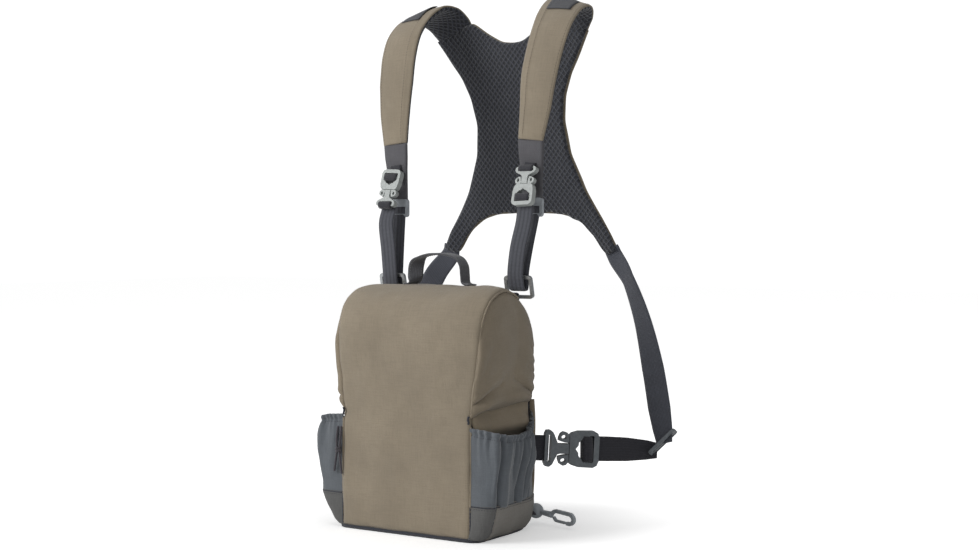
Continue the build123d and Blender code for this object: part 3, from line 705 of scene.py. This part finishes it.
# ---- body side walls, back and base
WALL_FRONT, WALL_REAR = -46.8, 46.4
WALL_TOP = [(WALL_FRONT, 112), (-18, 146), (30, 177), (WALL_REAR, 160)]
WALL_BACK = [(40, 5.0), (44.5, 16), (WALL_REAR, 40), (WALL_REAR, 160)]
for hand, side in SIDES:
    grid = coons([(0, WALL_FRONT, 5.0), (0, 40, 5.0)], upright(WALL_TOP, 40),
                 [(0, WALL_FRONT, 5.0), (0, WALL_FRONT, 112)], upright(WALL_BACK, 40), 40, 80)
    belly = ridge(grid[:, :, 2] - 102.5, 7.5) * np.clip((50 - np.abs(grid[:, :, 1] + 2)) / 14, 0, 1)
    tuck = 4.0 * np.clip((22 - grid[:, :, 2]) / 18, 0, 1)
    grid[:, :, 0] = side * (72.3 + 8.0 * belly - tuck)
    wall = Panel(f"body_side_{hand}", grid, 3.0, edge=2.0, rim=0.5, flip=(side < 0),
                 outer=soft_noise(grid, 0.05, 2.0) * 0.8)
    # the body's side walls take the lighter wall fabric: painted bounce light
    wall.dress("wall", "pouch", (f"side_panel_{hand}",))

BACK_COLUMNS, BACK_ROWS = 50, 90
BACK_HALF_WIDTH = 73.5
BACK_LINE = [(44.6, 3.4), (47.6, 9.0), (49.2, 22), (49.4, 60), (49.4, 120), (49.4, 172), (41.8, 198.5),
             (27.5, 216.0), (17.0, 220.8)]
back_y, back_z = smooth_path(BACK_LINE, BACK_ROWS).T
back_width = BACK_HALF_WIDTH * np.interp(back_z, [3, 12, 28, 118, 132], [0.92, 0.97, 1.0, 1.0, 1.028])
grid = np.array([np.stack([s * back_width, back_y, back_z], axis=1)
                 for s in np.linspace(1, -1, BACK_COLUMNS)])
channel = -1.4 * ridge(np.abs(grid[:, :, 0]) - 32, 2.2) * np.clip((grid[:, :, 2] - 24) / 10, 0, 1)
pad = 1.6 * bulge(BACK_COLUMNS, BACK_ROWS, 6)
rear = Panel("back_padding", grid, 4.6, edge=4.0, rim=0.4, outer=pad + channel)
rear.dress("mesh_flat", "pouch", ("back_panel",))
for column, label in ((0.035, ""), (0.965, "_far")):
    stitches("back_padding_stitch" + label, rear, down(column, 60, 2, 59), "thread_grey", "pouch")

BASE_OUTLINE = [(73, -51.5), (81.5, -45.5), (76.5, 22), (72, 39), (66, 45)]
BASE_HEIGHT, BINDING_HEIGHT = 2.6, 1.9
outline = np.array(BASE_OUTLINE + [(-x, y) for x, y in reversed(BASE_OUTLINE)], float)
base_loop = resample(np.vstack([outline, outline[:1]]), 161)[:-1]
for _ in range(3):
    base_loop = (np.roll(base_loop, 1, axis=0) + 2 * base_loop + np.roll(base_loop, -1, axis=0)) / 4
shrink = np.linspace(1, 0.02, 16)
grid = np.array([[(x * r, y * r, BASE_HEIGHT) for r in shrink]
                 for x, y in np.vstack([base_loop, base_loop[:1]])])
base = Panel("base_pad", grid, 4.6, edge=3.0, rim=0.4, flip=True)
finish_piece(base.object, "base", "pouch", ("base_panel",))

BINDING_SIDEWAYS, BINDING_UP = 1.1, 1.8
outward = base_loop * (1 + 0.4 / np.linalg.norm(base_loop, axis=1, keepdims=True))
binding_loop = np.column_stack([outward, np.full(len(outward), BINDING_HEIGHT)])
binding_rings = []
for k, tangent in enumerate(np.roll(binding_loop, -1, axis=0) - np.roll(binding_loop, 1, axis=0)):
    outwards = np.cross(tangent / np.linalg.norm(tangent), (0, 0, 1))
    grow = 1 + 0.05 * math.sin(k * 2.3) + 0.03 * math.sin(k * 0.7)
    binding_rings.append([binding_loop[k] + outwards * math.cos(turn) * BINDING_SIDEWAYS * grow
                          + np.array([0, 0, 1]) * math.sin(turn) * BINDING_UP * grow for turn in turns(10)])
tube("base_edge_binding", binding_loop, binding_rings, BINDING_UP, True, "binding", "pouch", ("base_binding",))

REAR_EDGE = [(73.0, 49.4, 24), (74.6, 50.2, 44), (75.2, 50.6, 78), (75.4, 50.9, 104), (74.6, 50.2, 123.5)]
for hand, side in SIDES:
    strap(f"rear_edge_{hand}", "tan_painted_side_shade", sided(REAR_EDGE, side), (side, 0.3, 0), 5.2, 2.8, samples=60,
          columns=9, body="pouch", replaces=("rear_binding",), ripple=1.6)


# ---- side pockets
PLAN_COLUMNS = 150
POCKET_ROWS, KICK_ROWS = 60, 30
POCKET_LOW = 33.4
KICK_LOW, KICK_RISE = 3.0, 31.6
PLAN_LEVELS = [2, 8, 20, 33, 72, 102]
TAIL_LEVELS = [2, 10, 26]
MOUTH = ([0, 0.15, 0.32, 0.5, 0.68, 0.82, 0.92, 1.0], [105, 103.5, 98.5, 97, 98.5, 102, 107, 113])
MOUTH_RAISED = {1: 0.0, -1: 4.5}  # the right pocket's mouth sits a little higher


def pocket_plan(height, side):
    """Plan curve of the pocket wall at one height, front seam to rear seam."""
    fuller = np.interp(height, PLAN_LEVELS, [0, 2, 4, 6, 8, 6]) if side < 0 else 0.0
    x_front = np.interp(height, PLAN_LEVELS, [81.5, 87.5, 94.0, 98.2, 103.2, 100.6]) + fuller
    x_rear = np.interp(height, PLAN_LEVELS, [75.5, 80.5, 86.0, 89.6, 93.4, 92.4])
    x_tail = np.interp(height, TAIL_LEVELS, [69.5, 73.0, 75.2])
    y_tail = np.interp(height, TAIL_LEVELS, [38.5, 43.5, 46.8])
    points = [(74.6, -50.2), (x_front - 12, -50.4), (x_front - 4, -48.4), (x_front - 0.8, -41.6),
              (0.5 * (x_front + x_rear) + 1.2, -8), (x_rear, 22), (x_tail + 4, y_tail - 3), (x_tail, y_tail)]
    return smooth_path([(x, y, 0) for x, y in points], PLAN_COLUMNS)[:, :2] * (side, 1)


def dart_place(t):
    """Where along the pocket its slanting corner dart runs, at a fraction of the laminate's height."""
    return 0.235 - 0.03 * (1 - t)


# folds of a side pocket: place at the mouth, place below, depth (raised when positive), width, reach down
POCKET_FOLDS = ((0.268, 0.245, -4.2, 0.014, 90), (0.345, 0.315, 1.9, 0.045, 90), (0.46, 0.43, -1.7, 0.017, 46),
                (0.52, 0.47, 1.1, 0.030, 52), (0.60, 0.50, -2.9, 0.016, 92), (0.67, 0.56, 1.7, 0.034, 84),
                (0.745, 0.60, -2.6, 0.015, 78), (0.80, 0.68, 1.4, 0.026, 66), (0.86, 0.72, -2.4, 0.015, 70),
                (0.915, 0.81, 1.3, 0.024, 50), (0.95, 0.88, -1.4, 0.013, 44), (0.17, 0.15, -1.2, 0.016, 34),
                (0.09, 0.10, 0.8, 0.03, 50), (0.22, 0.20, 0.9, 0.022, 70))
FOLD_DEPTH = 1.45
u_values = np.linspace(0, 1, PLAN_COLUMNS)
u_column = u_values[:, None]
pocket_ends = np.clip(np.minimum(u_values, 1 - u_values) * 10, 0, 1)[:, None]


def pocket_wall(side):
    """Middle surface of the stretch pocket, from the laminate up to its mouth."""
    grid = np.zeros((PLAN_COLUMNS, POCKET_ROWS, 3))
    tops = MOUTH_RAISED[side] + np.interp(u_values, *MOUTH)
    for j, v in enumerate(np.linspace(0, 1, POCKET_ROWS)):
        heights = POCKET_LOW + (tops - POCKET_LOW) * v
        plans = {}
        for i in range(PLAN_COLUMNS):
            level = round(float(heights[i]), 0)
            if level not in plans:
                plans[level] = pocket_plan(level, side)
            grid[i, j] = (*plans[level][i], heights[i])
    return grid, tops[:, None] - grid[:, :, 2]


for hand, side in SIDES:
    grid, below = pocket_wall(side)
    phase = u_column * 19 + 0.6 * np.sin(8 * u_column + side)
    gather = 1.7 * np.exp(-below / 9.0) * np.sin(2 * np.pi * phase)
    long_fold = 0.0
    for top_u, low_u, depth, spread, reach in POCKET_FOLDS:
        drop = np.clip(below / 64.0, 0, 1)
        place = top_u + (low_u - top_u) * drop ** 1.3 + 0.006 * np.sin(below / 9.0 + 20 * top_u)
        fade_in = np.clip(0.25 + below / 10.0, 0, 1) * np.clip((reach - below) / 22.0, 0, 1)
        long_fold = long_fold + FOLD_DEPTH * depth * ridge(u_column - place, spread) * fade_in
    slack = soft_noise(grid, 0.035, 11.0 + side) * 3.2 * (np.clip(grid[:, :, 2] - POCKET_LOW, 0, 14) / 14)
    lip = 0.9 * ridge(below - 1.8, 1.6) - 0.8 * ridge(below - 5.4, 1.6)
    shift = (gather + long_fold + slack) * pocket_ends + lip
    pocket = Panel(f"stretch_pocket_{hand}", grid, 1.6, edge=1.5, rim=0.7, flip=(side < 0),
                   outer=shift, inner=-shift)
    pocket.dress("stretch", "pouch", (f"side_pocket_{hand}",))
    stitches(f"pocket_hem_stitch_{hand}", pocket, along(0.90, 90, 2, 89), "thread_dark", "pouch", pitch=2.6,
             long=1.7)

    levels = np.linspace(KICK_LOW, KICK_LOW + KICK_RISE, KICK_ROWS)
    grid = np.zeros((PLAN_COLUMNS, KICK_ROWS, 3))
    for j, height in enumerate(levels):
        grid[:, j, :2] = pocket_plan(height, side)
        grid[:, j, 2] = height
    dart_at = dart_place((grid[:, :, 2] - KICK_LOW) / KICK_RISE)
    step = np.where(u_column > dart_at, 0.5, 0.0)
    dent = soft_noise(grid, 0.045, 21.0 + side) * 1.6
    kick = Panel(f"pocket_lower_{hand}", grid, 2.4, edge=1.6, rim=0.6, flip=(side < 0),
                 outer=-1.9 * ridge(u_column - dart_at, 0.008) + step + dent, inner=-dent)
    finish_piece(kick.object, "kick", "pouch", (f"pocket_kick_{hand}",))
    kick.object.data.materials.append(mats["kick_front"])
    for face in kick.object.data.polygons:
        row = int(round((face.center.z / MM - KICK_LOW) / KICK_RISE * (KICK_ROWS - 1)))
        row = min(max(row, 0), KICK_ROWS - 1)
        if face.center.y / MM < grid[int(round(dart_at[0, row] * (PLAN_COLUMNS - 1))), row, 1]:
            face.material_index = 1
    stitches(f"pocket_seam_stitch_{hand}", kick, along(0.90, 90, 2, 89), "thread_dark", "pouch", pitch=2.8,
             long=1.8)
    seam_line = [kick.at(s, t, -0.2)[0] for s, t in along(0.965, 120, 1, 120)]
    dart_line = [kick.at(dart_place(t), t, 0.35)[0] for t in np.linspace(0.02, 0.96, 24)]
    front_seam = [(side * 74.9, -51.2, z) for z in np.linspace(4, 33, 30)]
    for label, line, radius in (("seam", seam_line, 0.6), ("dart", dart_line, 0.4),
                                ("front_seam", front_seam, 0.7)):
        bead(f"pocket_{label}_{hand}", line, radius, "binding", "pouch")

# ---- harness: straps and yoke
STRAP_PATH = [(81, 39, 370), (84, 42, 400), (85.5, 46, 430), (88, 54, 460), (89, 65, 482), (88, 82, 498),
              (85.5, 101, 505), (78.5, 117, 501), (70.6, 125.0, 490), (67.5, 127.8, 482)]
STRAP_WIDTH = [28, 35, 40, 41.5, 42.5, 43.5, 44.5, 45, 43, 36]
STRAP_TILT = [0, 0, 0.02, 0.06, 0.12, 0.18, 0.25, 0.32, 0.42, 0.46]
STRAP_ROWS, STRAP_COLUMNS = 130, 25
WELT = 0.62
PATCH_ROWS = slice(129, 161)
for hand, side in SIDES:
    path = sided(STRAP_PATH, side)
    across = [(1, 0, -side * tilt) for tilt in STRAP_TILT]
    grid = strap_grid(path, across, STRAP_WIDTH, STRAP_ROWS, STRAP_COLUMNS, rise=-1.4, curl=1.2)
    s_across = np.linspace(-1, 1, STRAP_COLUMNS)[:, None]
    crown = 0.9 * (1 - s_across ** 2) + 0.7 * ridge(s_across + side * WELT, 0.06)
    outer_piece = Panel(f"strap_outer_{hand}", grid, 2.2, edge=2.2, rim=0.5,
                        outer=crown + soft_noise(grid, 0.05, 4.0 * side) * 0.6)
    outer_piece.dress("tan", "harness", (f"shoulder_outer_{hand}",))
    for label, column in (("", (1 - side * WELT * 0.92) / 2), ("far_", 0.93 if side > 0 else 0.07)):
        stitches(f"strap_stitch_{label}{hand}", outer_piece, down(column, 120, 2, 116), "thread",
                 "harness")
    grid = strap_grid(path, across, [w - 0.6 for w in STRAP_WIDTH], STRAP_ROWS, STRAP_COLUMNS, rise=2.3,
                      curl=-0.8)
    inner_piece = Panel(f"strap_mesh_{hand}", grid, 4.4, edge=3.4, rim=0.3)
    inner_piece.dress("mesh", "harness", (f"shoulder_mesh_{hand}",))
    crest = resample(smooth_path(path, 200)[PATCH_ROWS], 4)
    patch = strap(f"shoulder_patch_{hand}", "patch", crest, across[5:9], 25, 0.9, samples=30, columns=9,
                  rise=-4.3, curl=0.5, rim=0.6, replaces=("shoulder_patches",))
    stitches(f"shoulder_patch_stitch_{hand}", patch, down(0.08, 30, 1, 30), "thread_grey", "harness",
             pitch=2.4, long=1.5)

YOKE_COLUMNS, YOKE_ROWS = 81, 90
YOKE_LOW = ([0, 0.36, 0.54, 0.70, 0.79, 0.85, 0.93, 1.0], [302.5, 301, 296, 284, 271, 261, 259.5, 264])
YOKE_HIGH = ([0, 0.15, 0.33, 0.53, 0.75, 1.0], [474, 475.5, 484.5, 497, 489, 480])
YOKE_HALF_WIDTH = ([0, 0.08, 0.19, 0.28, 0.45, 0.6, 0.72, 0.82, 0.91, 1.0],
                   [106, 98, 82.5, 71, 57, 53, 57, 66, 79, 91])
YOKE_Y, YOKE_MIDDLE, YOKE_LEAN = 143, 385, 0.17


def yoke_grid(inset, offset):
    """Back yoke: waisted sheet with an arch below and a neck dip above, leaning with the wearer's back."""
    grid = np.zeros((YOKE_COLUMNS, YOKE_ROWS, 3))
    for i, s in enumerate(np.linspace(-1, 1, YOKE_COLUMNS)):
        low = np.interp(abs(s), *YOKE_LOW) + inset
        high = np.interp(abs(s), *YOKE_HIGH) - inset
        for j, t in enumerate(np.linspace(0, 1, YOKE_ROWS)):
            z = low + (high - low) * t
            x = s * (np.interp(t, *YOKE_HALF_WIDTH) - inset)
            wrap = max(0.0, abs(x) - 62)
            grid[i, j] = (x, YOKE_Y - YOKE_LEAN * (z - YOKE_MIDDLE) - 0.0035 * wrap ** 2 + offset, z)
    for _ in range(3):
        grid[:, 1:-1] = 0.5 * grid[:, 1:-1] + 0.25 * (grid[:, :-2] + grid[:, 2:])
        grid[1:-1] = 0.5 * grid[1:-1] + 0.25 * (grid[:-2] + grid[2:])
    return grid


grid = yoke_grid(0.0, 1.5)
shell = Panel("yoke_outer", grid, 2.2, edge=2.2, rim=0.5, flip=True, outer=soft_noise(grid, 0.03, 6.0) * 1.6)
shell.dress("tan", "harness", ("yoke_shell",))
for column, label in ((0.04, "left"), (0.96, "right")):
    stitches(f"yoke_stitch_{label}", shell, down(column, 80, 1, 80), "thread", "harness", pitch=3.2, long=2.2)
grid = yoke_grid(0.8, -2.4)
low_edge_wave = 0.9 * np.sin(np.arange(YOKE_COLUMNS) * 0.9)[:, None]
grid[:, :, 2] += low_edge_wave * np.exp(-np.arange(YOKE_ROWS) / 2.0)[None]
lining = Panel("yoke_lining", grid, 4.6, edge=4.0, rim=0.3, outer=soft_noise(grid, 0.04, 8.0) * 1.2)
lining.dress("mesh_flat", "harness", ("yoke_mesh",))

# ---- webbing on the harness
TAB_PATH = [(81, 39.2, 371), (80.8, 40, 357), (80.6, 41, 345), (80.2, 43, 315)]
KEEPER_PATH = [(80.4, 38.6, 349), (80.0, 37.4, 345.5), (79.6, 36.0, 342.5), (79.4, 34.6, 340)]
FRONT_TO_BACK = [(81.3, 30.0, 311), (81.6, 28.2, 304), (82.0, 24.6, 291), (77.5, 22.2, 268), (75, 21.6, 246),
                 (75, 22.8, 236), (75, 24.6, 230.0), (75, 27.6, 228.2), (75, 30.8, 230.8), (75, 31.8, 246),
                 (77, 36, 270), (79.6, 41.4, 296), (80.2, 43.4, 309)]
LEVEL, UPRIGHT = (1, 0, 0), (0, 0, 1)
tab_outline = down(0.1, 30, 1, 30) + along(0.965, 20, 2, 19) + down(0.9, 30, 1, 30)[::-1]
tab_outline += along(0.035, 20, 2, 19)[::-1]
for hand, side in SIDES:
    tab = strap(f"strap_end_{hand}", "tab", sided(TAB_PATH, side), LEVEL, [28.4, 27.5, 25, 22], 3.4, samples=40,
                columns=17, rim=0.5, edge=1.6, replaces=("strap_tabs",))
    stitches(f"strap_end_stitch_{hand}", tab, tab_outline, "thread_grey", "harness", pitch=2.5, long=1.6,
             wide=0.8)
    strap(f"buckle_loop_{hand}", "web_dark", sided(KEEPER_PATH, side), LEVEL, 13, 1.8, samples=20, columns=9,
          flip=True, replaces=("buckle_keepers",))
    strap(f"adjuster_web_{hand}", "webbing", sided(FRONT_TO_BACK, side), LEVEL, 17.5, 1.7, samples=110,
          columns=9, flip=True, replaces=(f"shoulder_web_{hand}",))

side_axis = np.array([0.66806, 0.74207, -0.05501])
side_normal = np.array([0.74319, -0.66908, 0.0])
SIDE_START = np.array([79.0, 52.5, 77.0])
STRAP_BACK = -6.0
# side strap behind its buckle: distance along the buckle's axis, share of the set-back, width
LOW_RUN = ((48, 1.0, 24), (54, 0.75, 24), (72, 1.0, 24), (92, 1.0, 23), (112, 0.9, 19), (122, 0.4, 15))
SIDE_RISE = [(167, 144, 78), (163.5, 146, 92), (159, 147.5, 112), (151, 149, 150), (138, 151, 196),
             (119, 155.5, 236), (102.5, 159.6, 257), (98, 157.5, 268)]
RISE_ACROSS = [(0.8, 0, 0.6), (1, 0, 0.25), (1, 0, 0.2), (1, -0.05, 0.25), (0.9, -0.35, 0.3), (0.75, -0.5, 0.4),
               (0.9, -0.2, 0.5), (0.9, -0.2, 0.5)]
RISE_WIDTH = [18, 22, 25, 25, 25, 23, 20, 18]
for hand, side in SIDES:
    low_run = [SIDE_START + side_axis * d + side_normal * STRAP_BACK * k for d, k, _ in LOW_RUN]
    low_run = sided([tuple(p) for p in low_run], side)
    low = strap(f"side_strap_low_{hand}", "web_dark", low_run, UPRIGHT, [width for _, _, width in LOW_RUN], 1.8,
                columns=11, body=None, replaces=(f"side_strap_{hand}",), flip=(side < 0))
    start, end = np.array(low_run[1]) * MM, np.array(low_run[-2]) * MM
    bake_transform(low.object)
    strap(f"side_strap_high_{hand}", "web_fine", sided(SIDE_RISE, side), sided(RISE_ACROSS, side), RISE_WIDTH,
          1.8, samples=120, columns=11, flip=True, replaces=(f"side_strap_{hand}",))
    tab_points = [tuple(SIDE_START + side_axis * d) for d in (-3.0, 4.0, 8.0, 11.5)]
    strap(f"side_anchor_{hand}", "web_dark", sided(tab_points, side), UPRIGHT, 24.5, 2.0, samples=16,
          columns=11, body="pouch", replaces=(f"side_tab_{hand}",))

RING_ANCHOR = [(66.5, 43.4, 196), (66.5, 35.5, 205), (67, 31.4, 214), (67.5, 33.4, 222), (67.5, 30, 225.2),
               (67.5, 26.4, 222.5), (67, 28, 217.4)]
for hand, side in SIDES:
    strap(f"ring_anchor_{hand}", "webbing", sided(RING_ANCHOR, side), LEVEL, 9, 1.4, columns=9, body="pouch",
          replaces=("ring_tabs",))


# ---- webbing turned round the buckles' bars
SHOULDER_CENTRE = np.array([80.6, 29.6, 326.0])
SHOULDER_RUN = [1.5, -11.0, -36.0]
shoulder_axis = np.array(SHOULDER_RUN) / np.linalg.norm(SHOULDER_RUN)
shoulder_normal = -np.cross((1.0, 0.0, 0.0), shoulder_axis)
shoulder_normal /= np.linalg.norm(shoulder_normal)
# places along and above the buckle, in the size of the side buckles
BAR_LOOP = [(22.5, -5.2), (21.2, -1.5), (19.6, 3.9), (17.6, 5), (14.8, 5), (12.2, 4.2), (10.9, 0),
            (11.4, -4.8), (14.5, -5.6)]
END_LOOP = [(-29.5, -3), (-25.4, -5), (-21.6, -3.8), (-20.6, 0), (-21.6, 4.4), (-24.5, 5.2),
            (-28.2, 3.2), (-29.6, -0.5)]
SHOULDER_SIZE = (0.70, 0.78)


def bar_wrap(name, body, centre, axis, normal, side, loop, size, width, across):
    """Webbing wound round a bar of a buckle, drawn in the buckle's own length and height."""
    points = [tuple(centre + axis * u * size[0] + normal * w * size[1]) for u, w in loop]
    strap(name, "web_dark", sided(points, side), across, width, 1.5, samples=48, columns=9, body=body)


for hand, side in SIDES:
    bar_wrap(f"side_bar_wrap_{hand}", f"side_plug_{hand}", SIDE_START + side_axis * 34.0, side_axis,
             side_normal, side, BAR_LOOP, (1.0, 1.0), 24.5, UPRIGHT)
    plug_body = "shoulder_plug_left" if side > 0 else "harness"
    socket_body = "harness" if side > 0 else "shoulder_socket_right"
    for label, body, loop in (("bar", plug_body, BAR_LOOP), ("end", socket_body, END_LOOP)):
        bar_wrap(f"shoulder_{label}_wrap_{hand}", body, SHOULDER_CENTRE, shoulder_axis * side, shoulder_normal,
                 side, loop, SHOULDER_SIZE, 15.5, LEVEL)

# ---- handle
HALF_HANDLE = [(-38, 4, 233.0), (-33.5, 4, 233.4), (-30.2, 4, 235.6), (-29.4, 4, 242), (-28, 4, 251.5),
               (-22, 4, 258.6), (-11, 4, 261.6)]
HANDLE_PATH = HALF_HANDLE + [(0, 4, 262.2)] + sided(HALF_HANDLE[::-1], -1)
HANDLE_ACROSS = [(0, 1, 0), (0, 1, 0), (0.3, 1, 0), (0.9, 0.6, 0), (0.7, 0.8, 0), (0.2, 1, 0.1)]
HANDLE_ACROSS += [(0, 1, 0)] * 9
HANDLE_WIDTH = [14.5] * 3 + [15] * 9 + [14.5] * 3


def fold_with_handle(obj):
    """Bake the piece's placement into its mesh."""
    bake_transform(obj)


grip = strap("handle_webbing", "handle", HANDLE_PATH, HANDLE_ACROSS, HANDLE_WIDTH, 1.9, samples=120, columns=11,
             body=None, replaces=("handle", "handle_feet"))
fold_with_handle(grip.object)
for column, label in ((0.13, "front"), (0.87, "rear")):
    fold_with_handle(stitches(f"handle_stitch_{label}", grip, down(column, 120, 2, 119), "thread_grey", None,
                              pitch=2.4, long=1.6))

# ---- tether tab and the drawcord's knot
strap("tether_loop", "web_dark", [(65, 50, 20), (65, 56, 17), (65, 62, 12.6), (65, 66, 9.8)], LEVEL, 10, 2.0,
      samples=24, columns=7, body="pouch", replaces=("tether_tab",))

KNOT_POINTS, KNOT_TURNS, KNOT_RADIUS = 26, 3.1, 0.0021
knot_route = []
for k in range(KNOT_POINTS):
    angle = 2 * math.pi * KNOT_TURNS * k / (KNOT_POINTS - 1)
    knot_route.append((-0.0784 + KNOT_RADIUS * math.cos(angle), -0.0542 + KNOT_RADIUS * math.sin(angle),
                       0.0775 - 0.0048 * k / (KNOT_POINTS - 1) + 0.0008 * math.sin(angle * 1.5)))
finish_piece(cord_curve("cord_knot", knot_route, 3, 12), "cord", "pouch", ("drawcord_knot",))

# ---- moulded parts keep their CAD shape
BUCKLE_PARTS = ("socket", "plug", "arm_a", "arm_b")
LIGHT = [f"shoulder_{part}_{name}" for name, _ in SIDES for part in BUCKLE_PARTS]
DARK = [f"side_{part}_{name}" for name, _ in SIDES for part in BUCKLE_PARTS] + ["tri_glides"]
# the hook parts take the lighter slate plastic: painted light against the pack's shadow
HOOK = ["strap_loops", "snap_hook", "hook_gate", "tether_ball"]
for names, material, width in ((LIGHT, "light", 0.0005), (DARK, "slate", 0.0007), (HOOK, "slate_painted_lit", 0.0005),
                               (["rings"], "ring", 0.0009)):
    for node_name in names:
        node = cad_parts[node_name]
        node.data.materials.clear()
        node.data.materials.append(mats[material])
        bevel = node.modifiers.new("edge", "BEVEL")
        bevel.width = width
        bevel.segments = 3
        bevel.limit_method = "ANGLE"
        bevel.angle_limit = math.radians(35)

# ---- floor and light
# the floor and the world glow for the camera only; the floor glows less near the pack, where its shadow falls
FLOOR_CORNERS = [(-6, -6, 0), (6, -6, 0), (6, 6, 0), (-6, 6, 0)]
GLOW = {"From Min": 0.10, "From Max": 0.30, "To Min": 0.40, "To Max": 0.76}
floor_mesh = bpy.data.meshes.new("floor")
floor_mesh.from_pydata(FLOOR_CORNERS, [], [(0, 1, 2, 3)])
floor = link("floor", floor_mesh)
ground = Surface("floor")
reach = ground.node("VectorMath", {0: ground.coords["Object"]}, operation="LENGTH").outputs["Value"]
glow = ground.node("MapRange", {"Value": reach, **GLOW}, interpolation_type="SMOOTHSTEP").outputs["Result"]
seen = ground.node("LightPath").outputs["Is Camera Ray"]
ground.feed(ground.shader, {"Base Color": (0.93, 0.93, 0.93), "Roughness": 0.9, "Specular IOR Level": 0.0,
                            "Emission Color": (1, 1, 1), "Emission Strength": ground.times(seen, glow)})
floor_mesh.materials.append(ground.owner)
floor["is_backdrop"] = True

sky = Shading(bpy.data.worlds.new("world"))
seen = sky.node("LightPath").outputs["Is Camera Ray"]
strength = sky.node("MapRange", {"Value": seen, "To Min": 0.25, "To Max": 1.1}).outputs["Result"]
sky.feed(sky.tree.nodes["Background"], {"Color": (1, 1, 1), "Strength": strength})
scene.world = sky.owner

# name, place, size and power of each area light, aimed at the middle of the pack
LIGHTS = (("key", (-0.95, -1.45, 1.05), 1.0, 21), ("fill", (1.5, -0.9, 1.5), 0.9, 3.6),
          ("top", (-0.2, 0.1, 1.9), 1.2, 6))
LIGHT_AIM = Vector((0.03, 0.03, 0.22))
for name, place, size, power in LIGHTS:
    light = bpy.data.lights.new(name, "AREA")
    light.size = size
    light.energy = power
    lamp = link(name, light)
    lamp.location = place
    lamp.rotation_euler = (LIGHT_AIM - Vector(place)).to_track_quat("-Z", "Y").to_euler()

low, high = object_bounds()
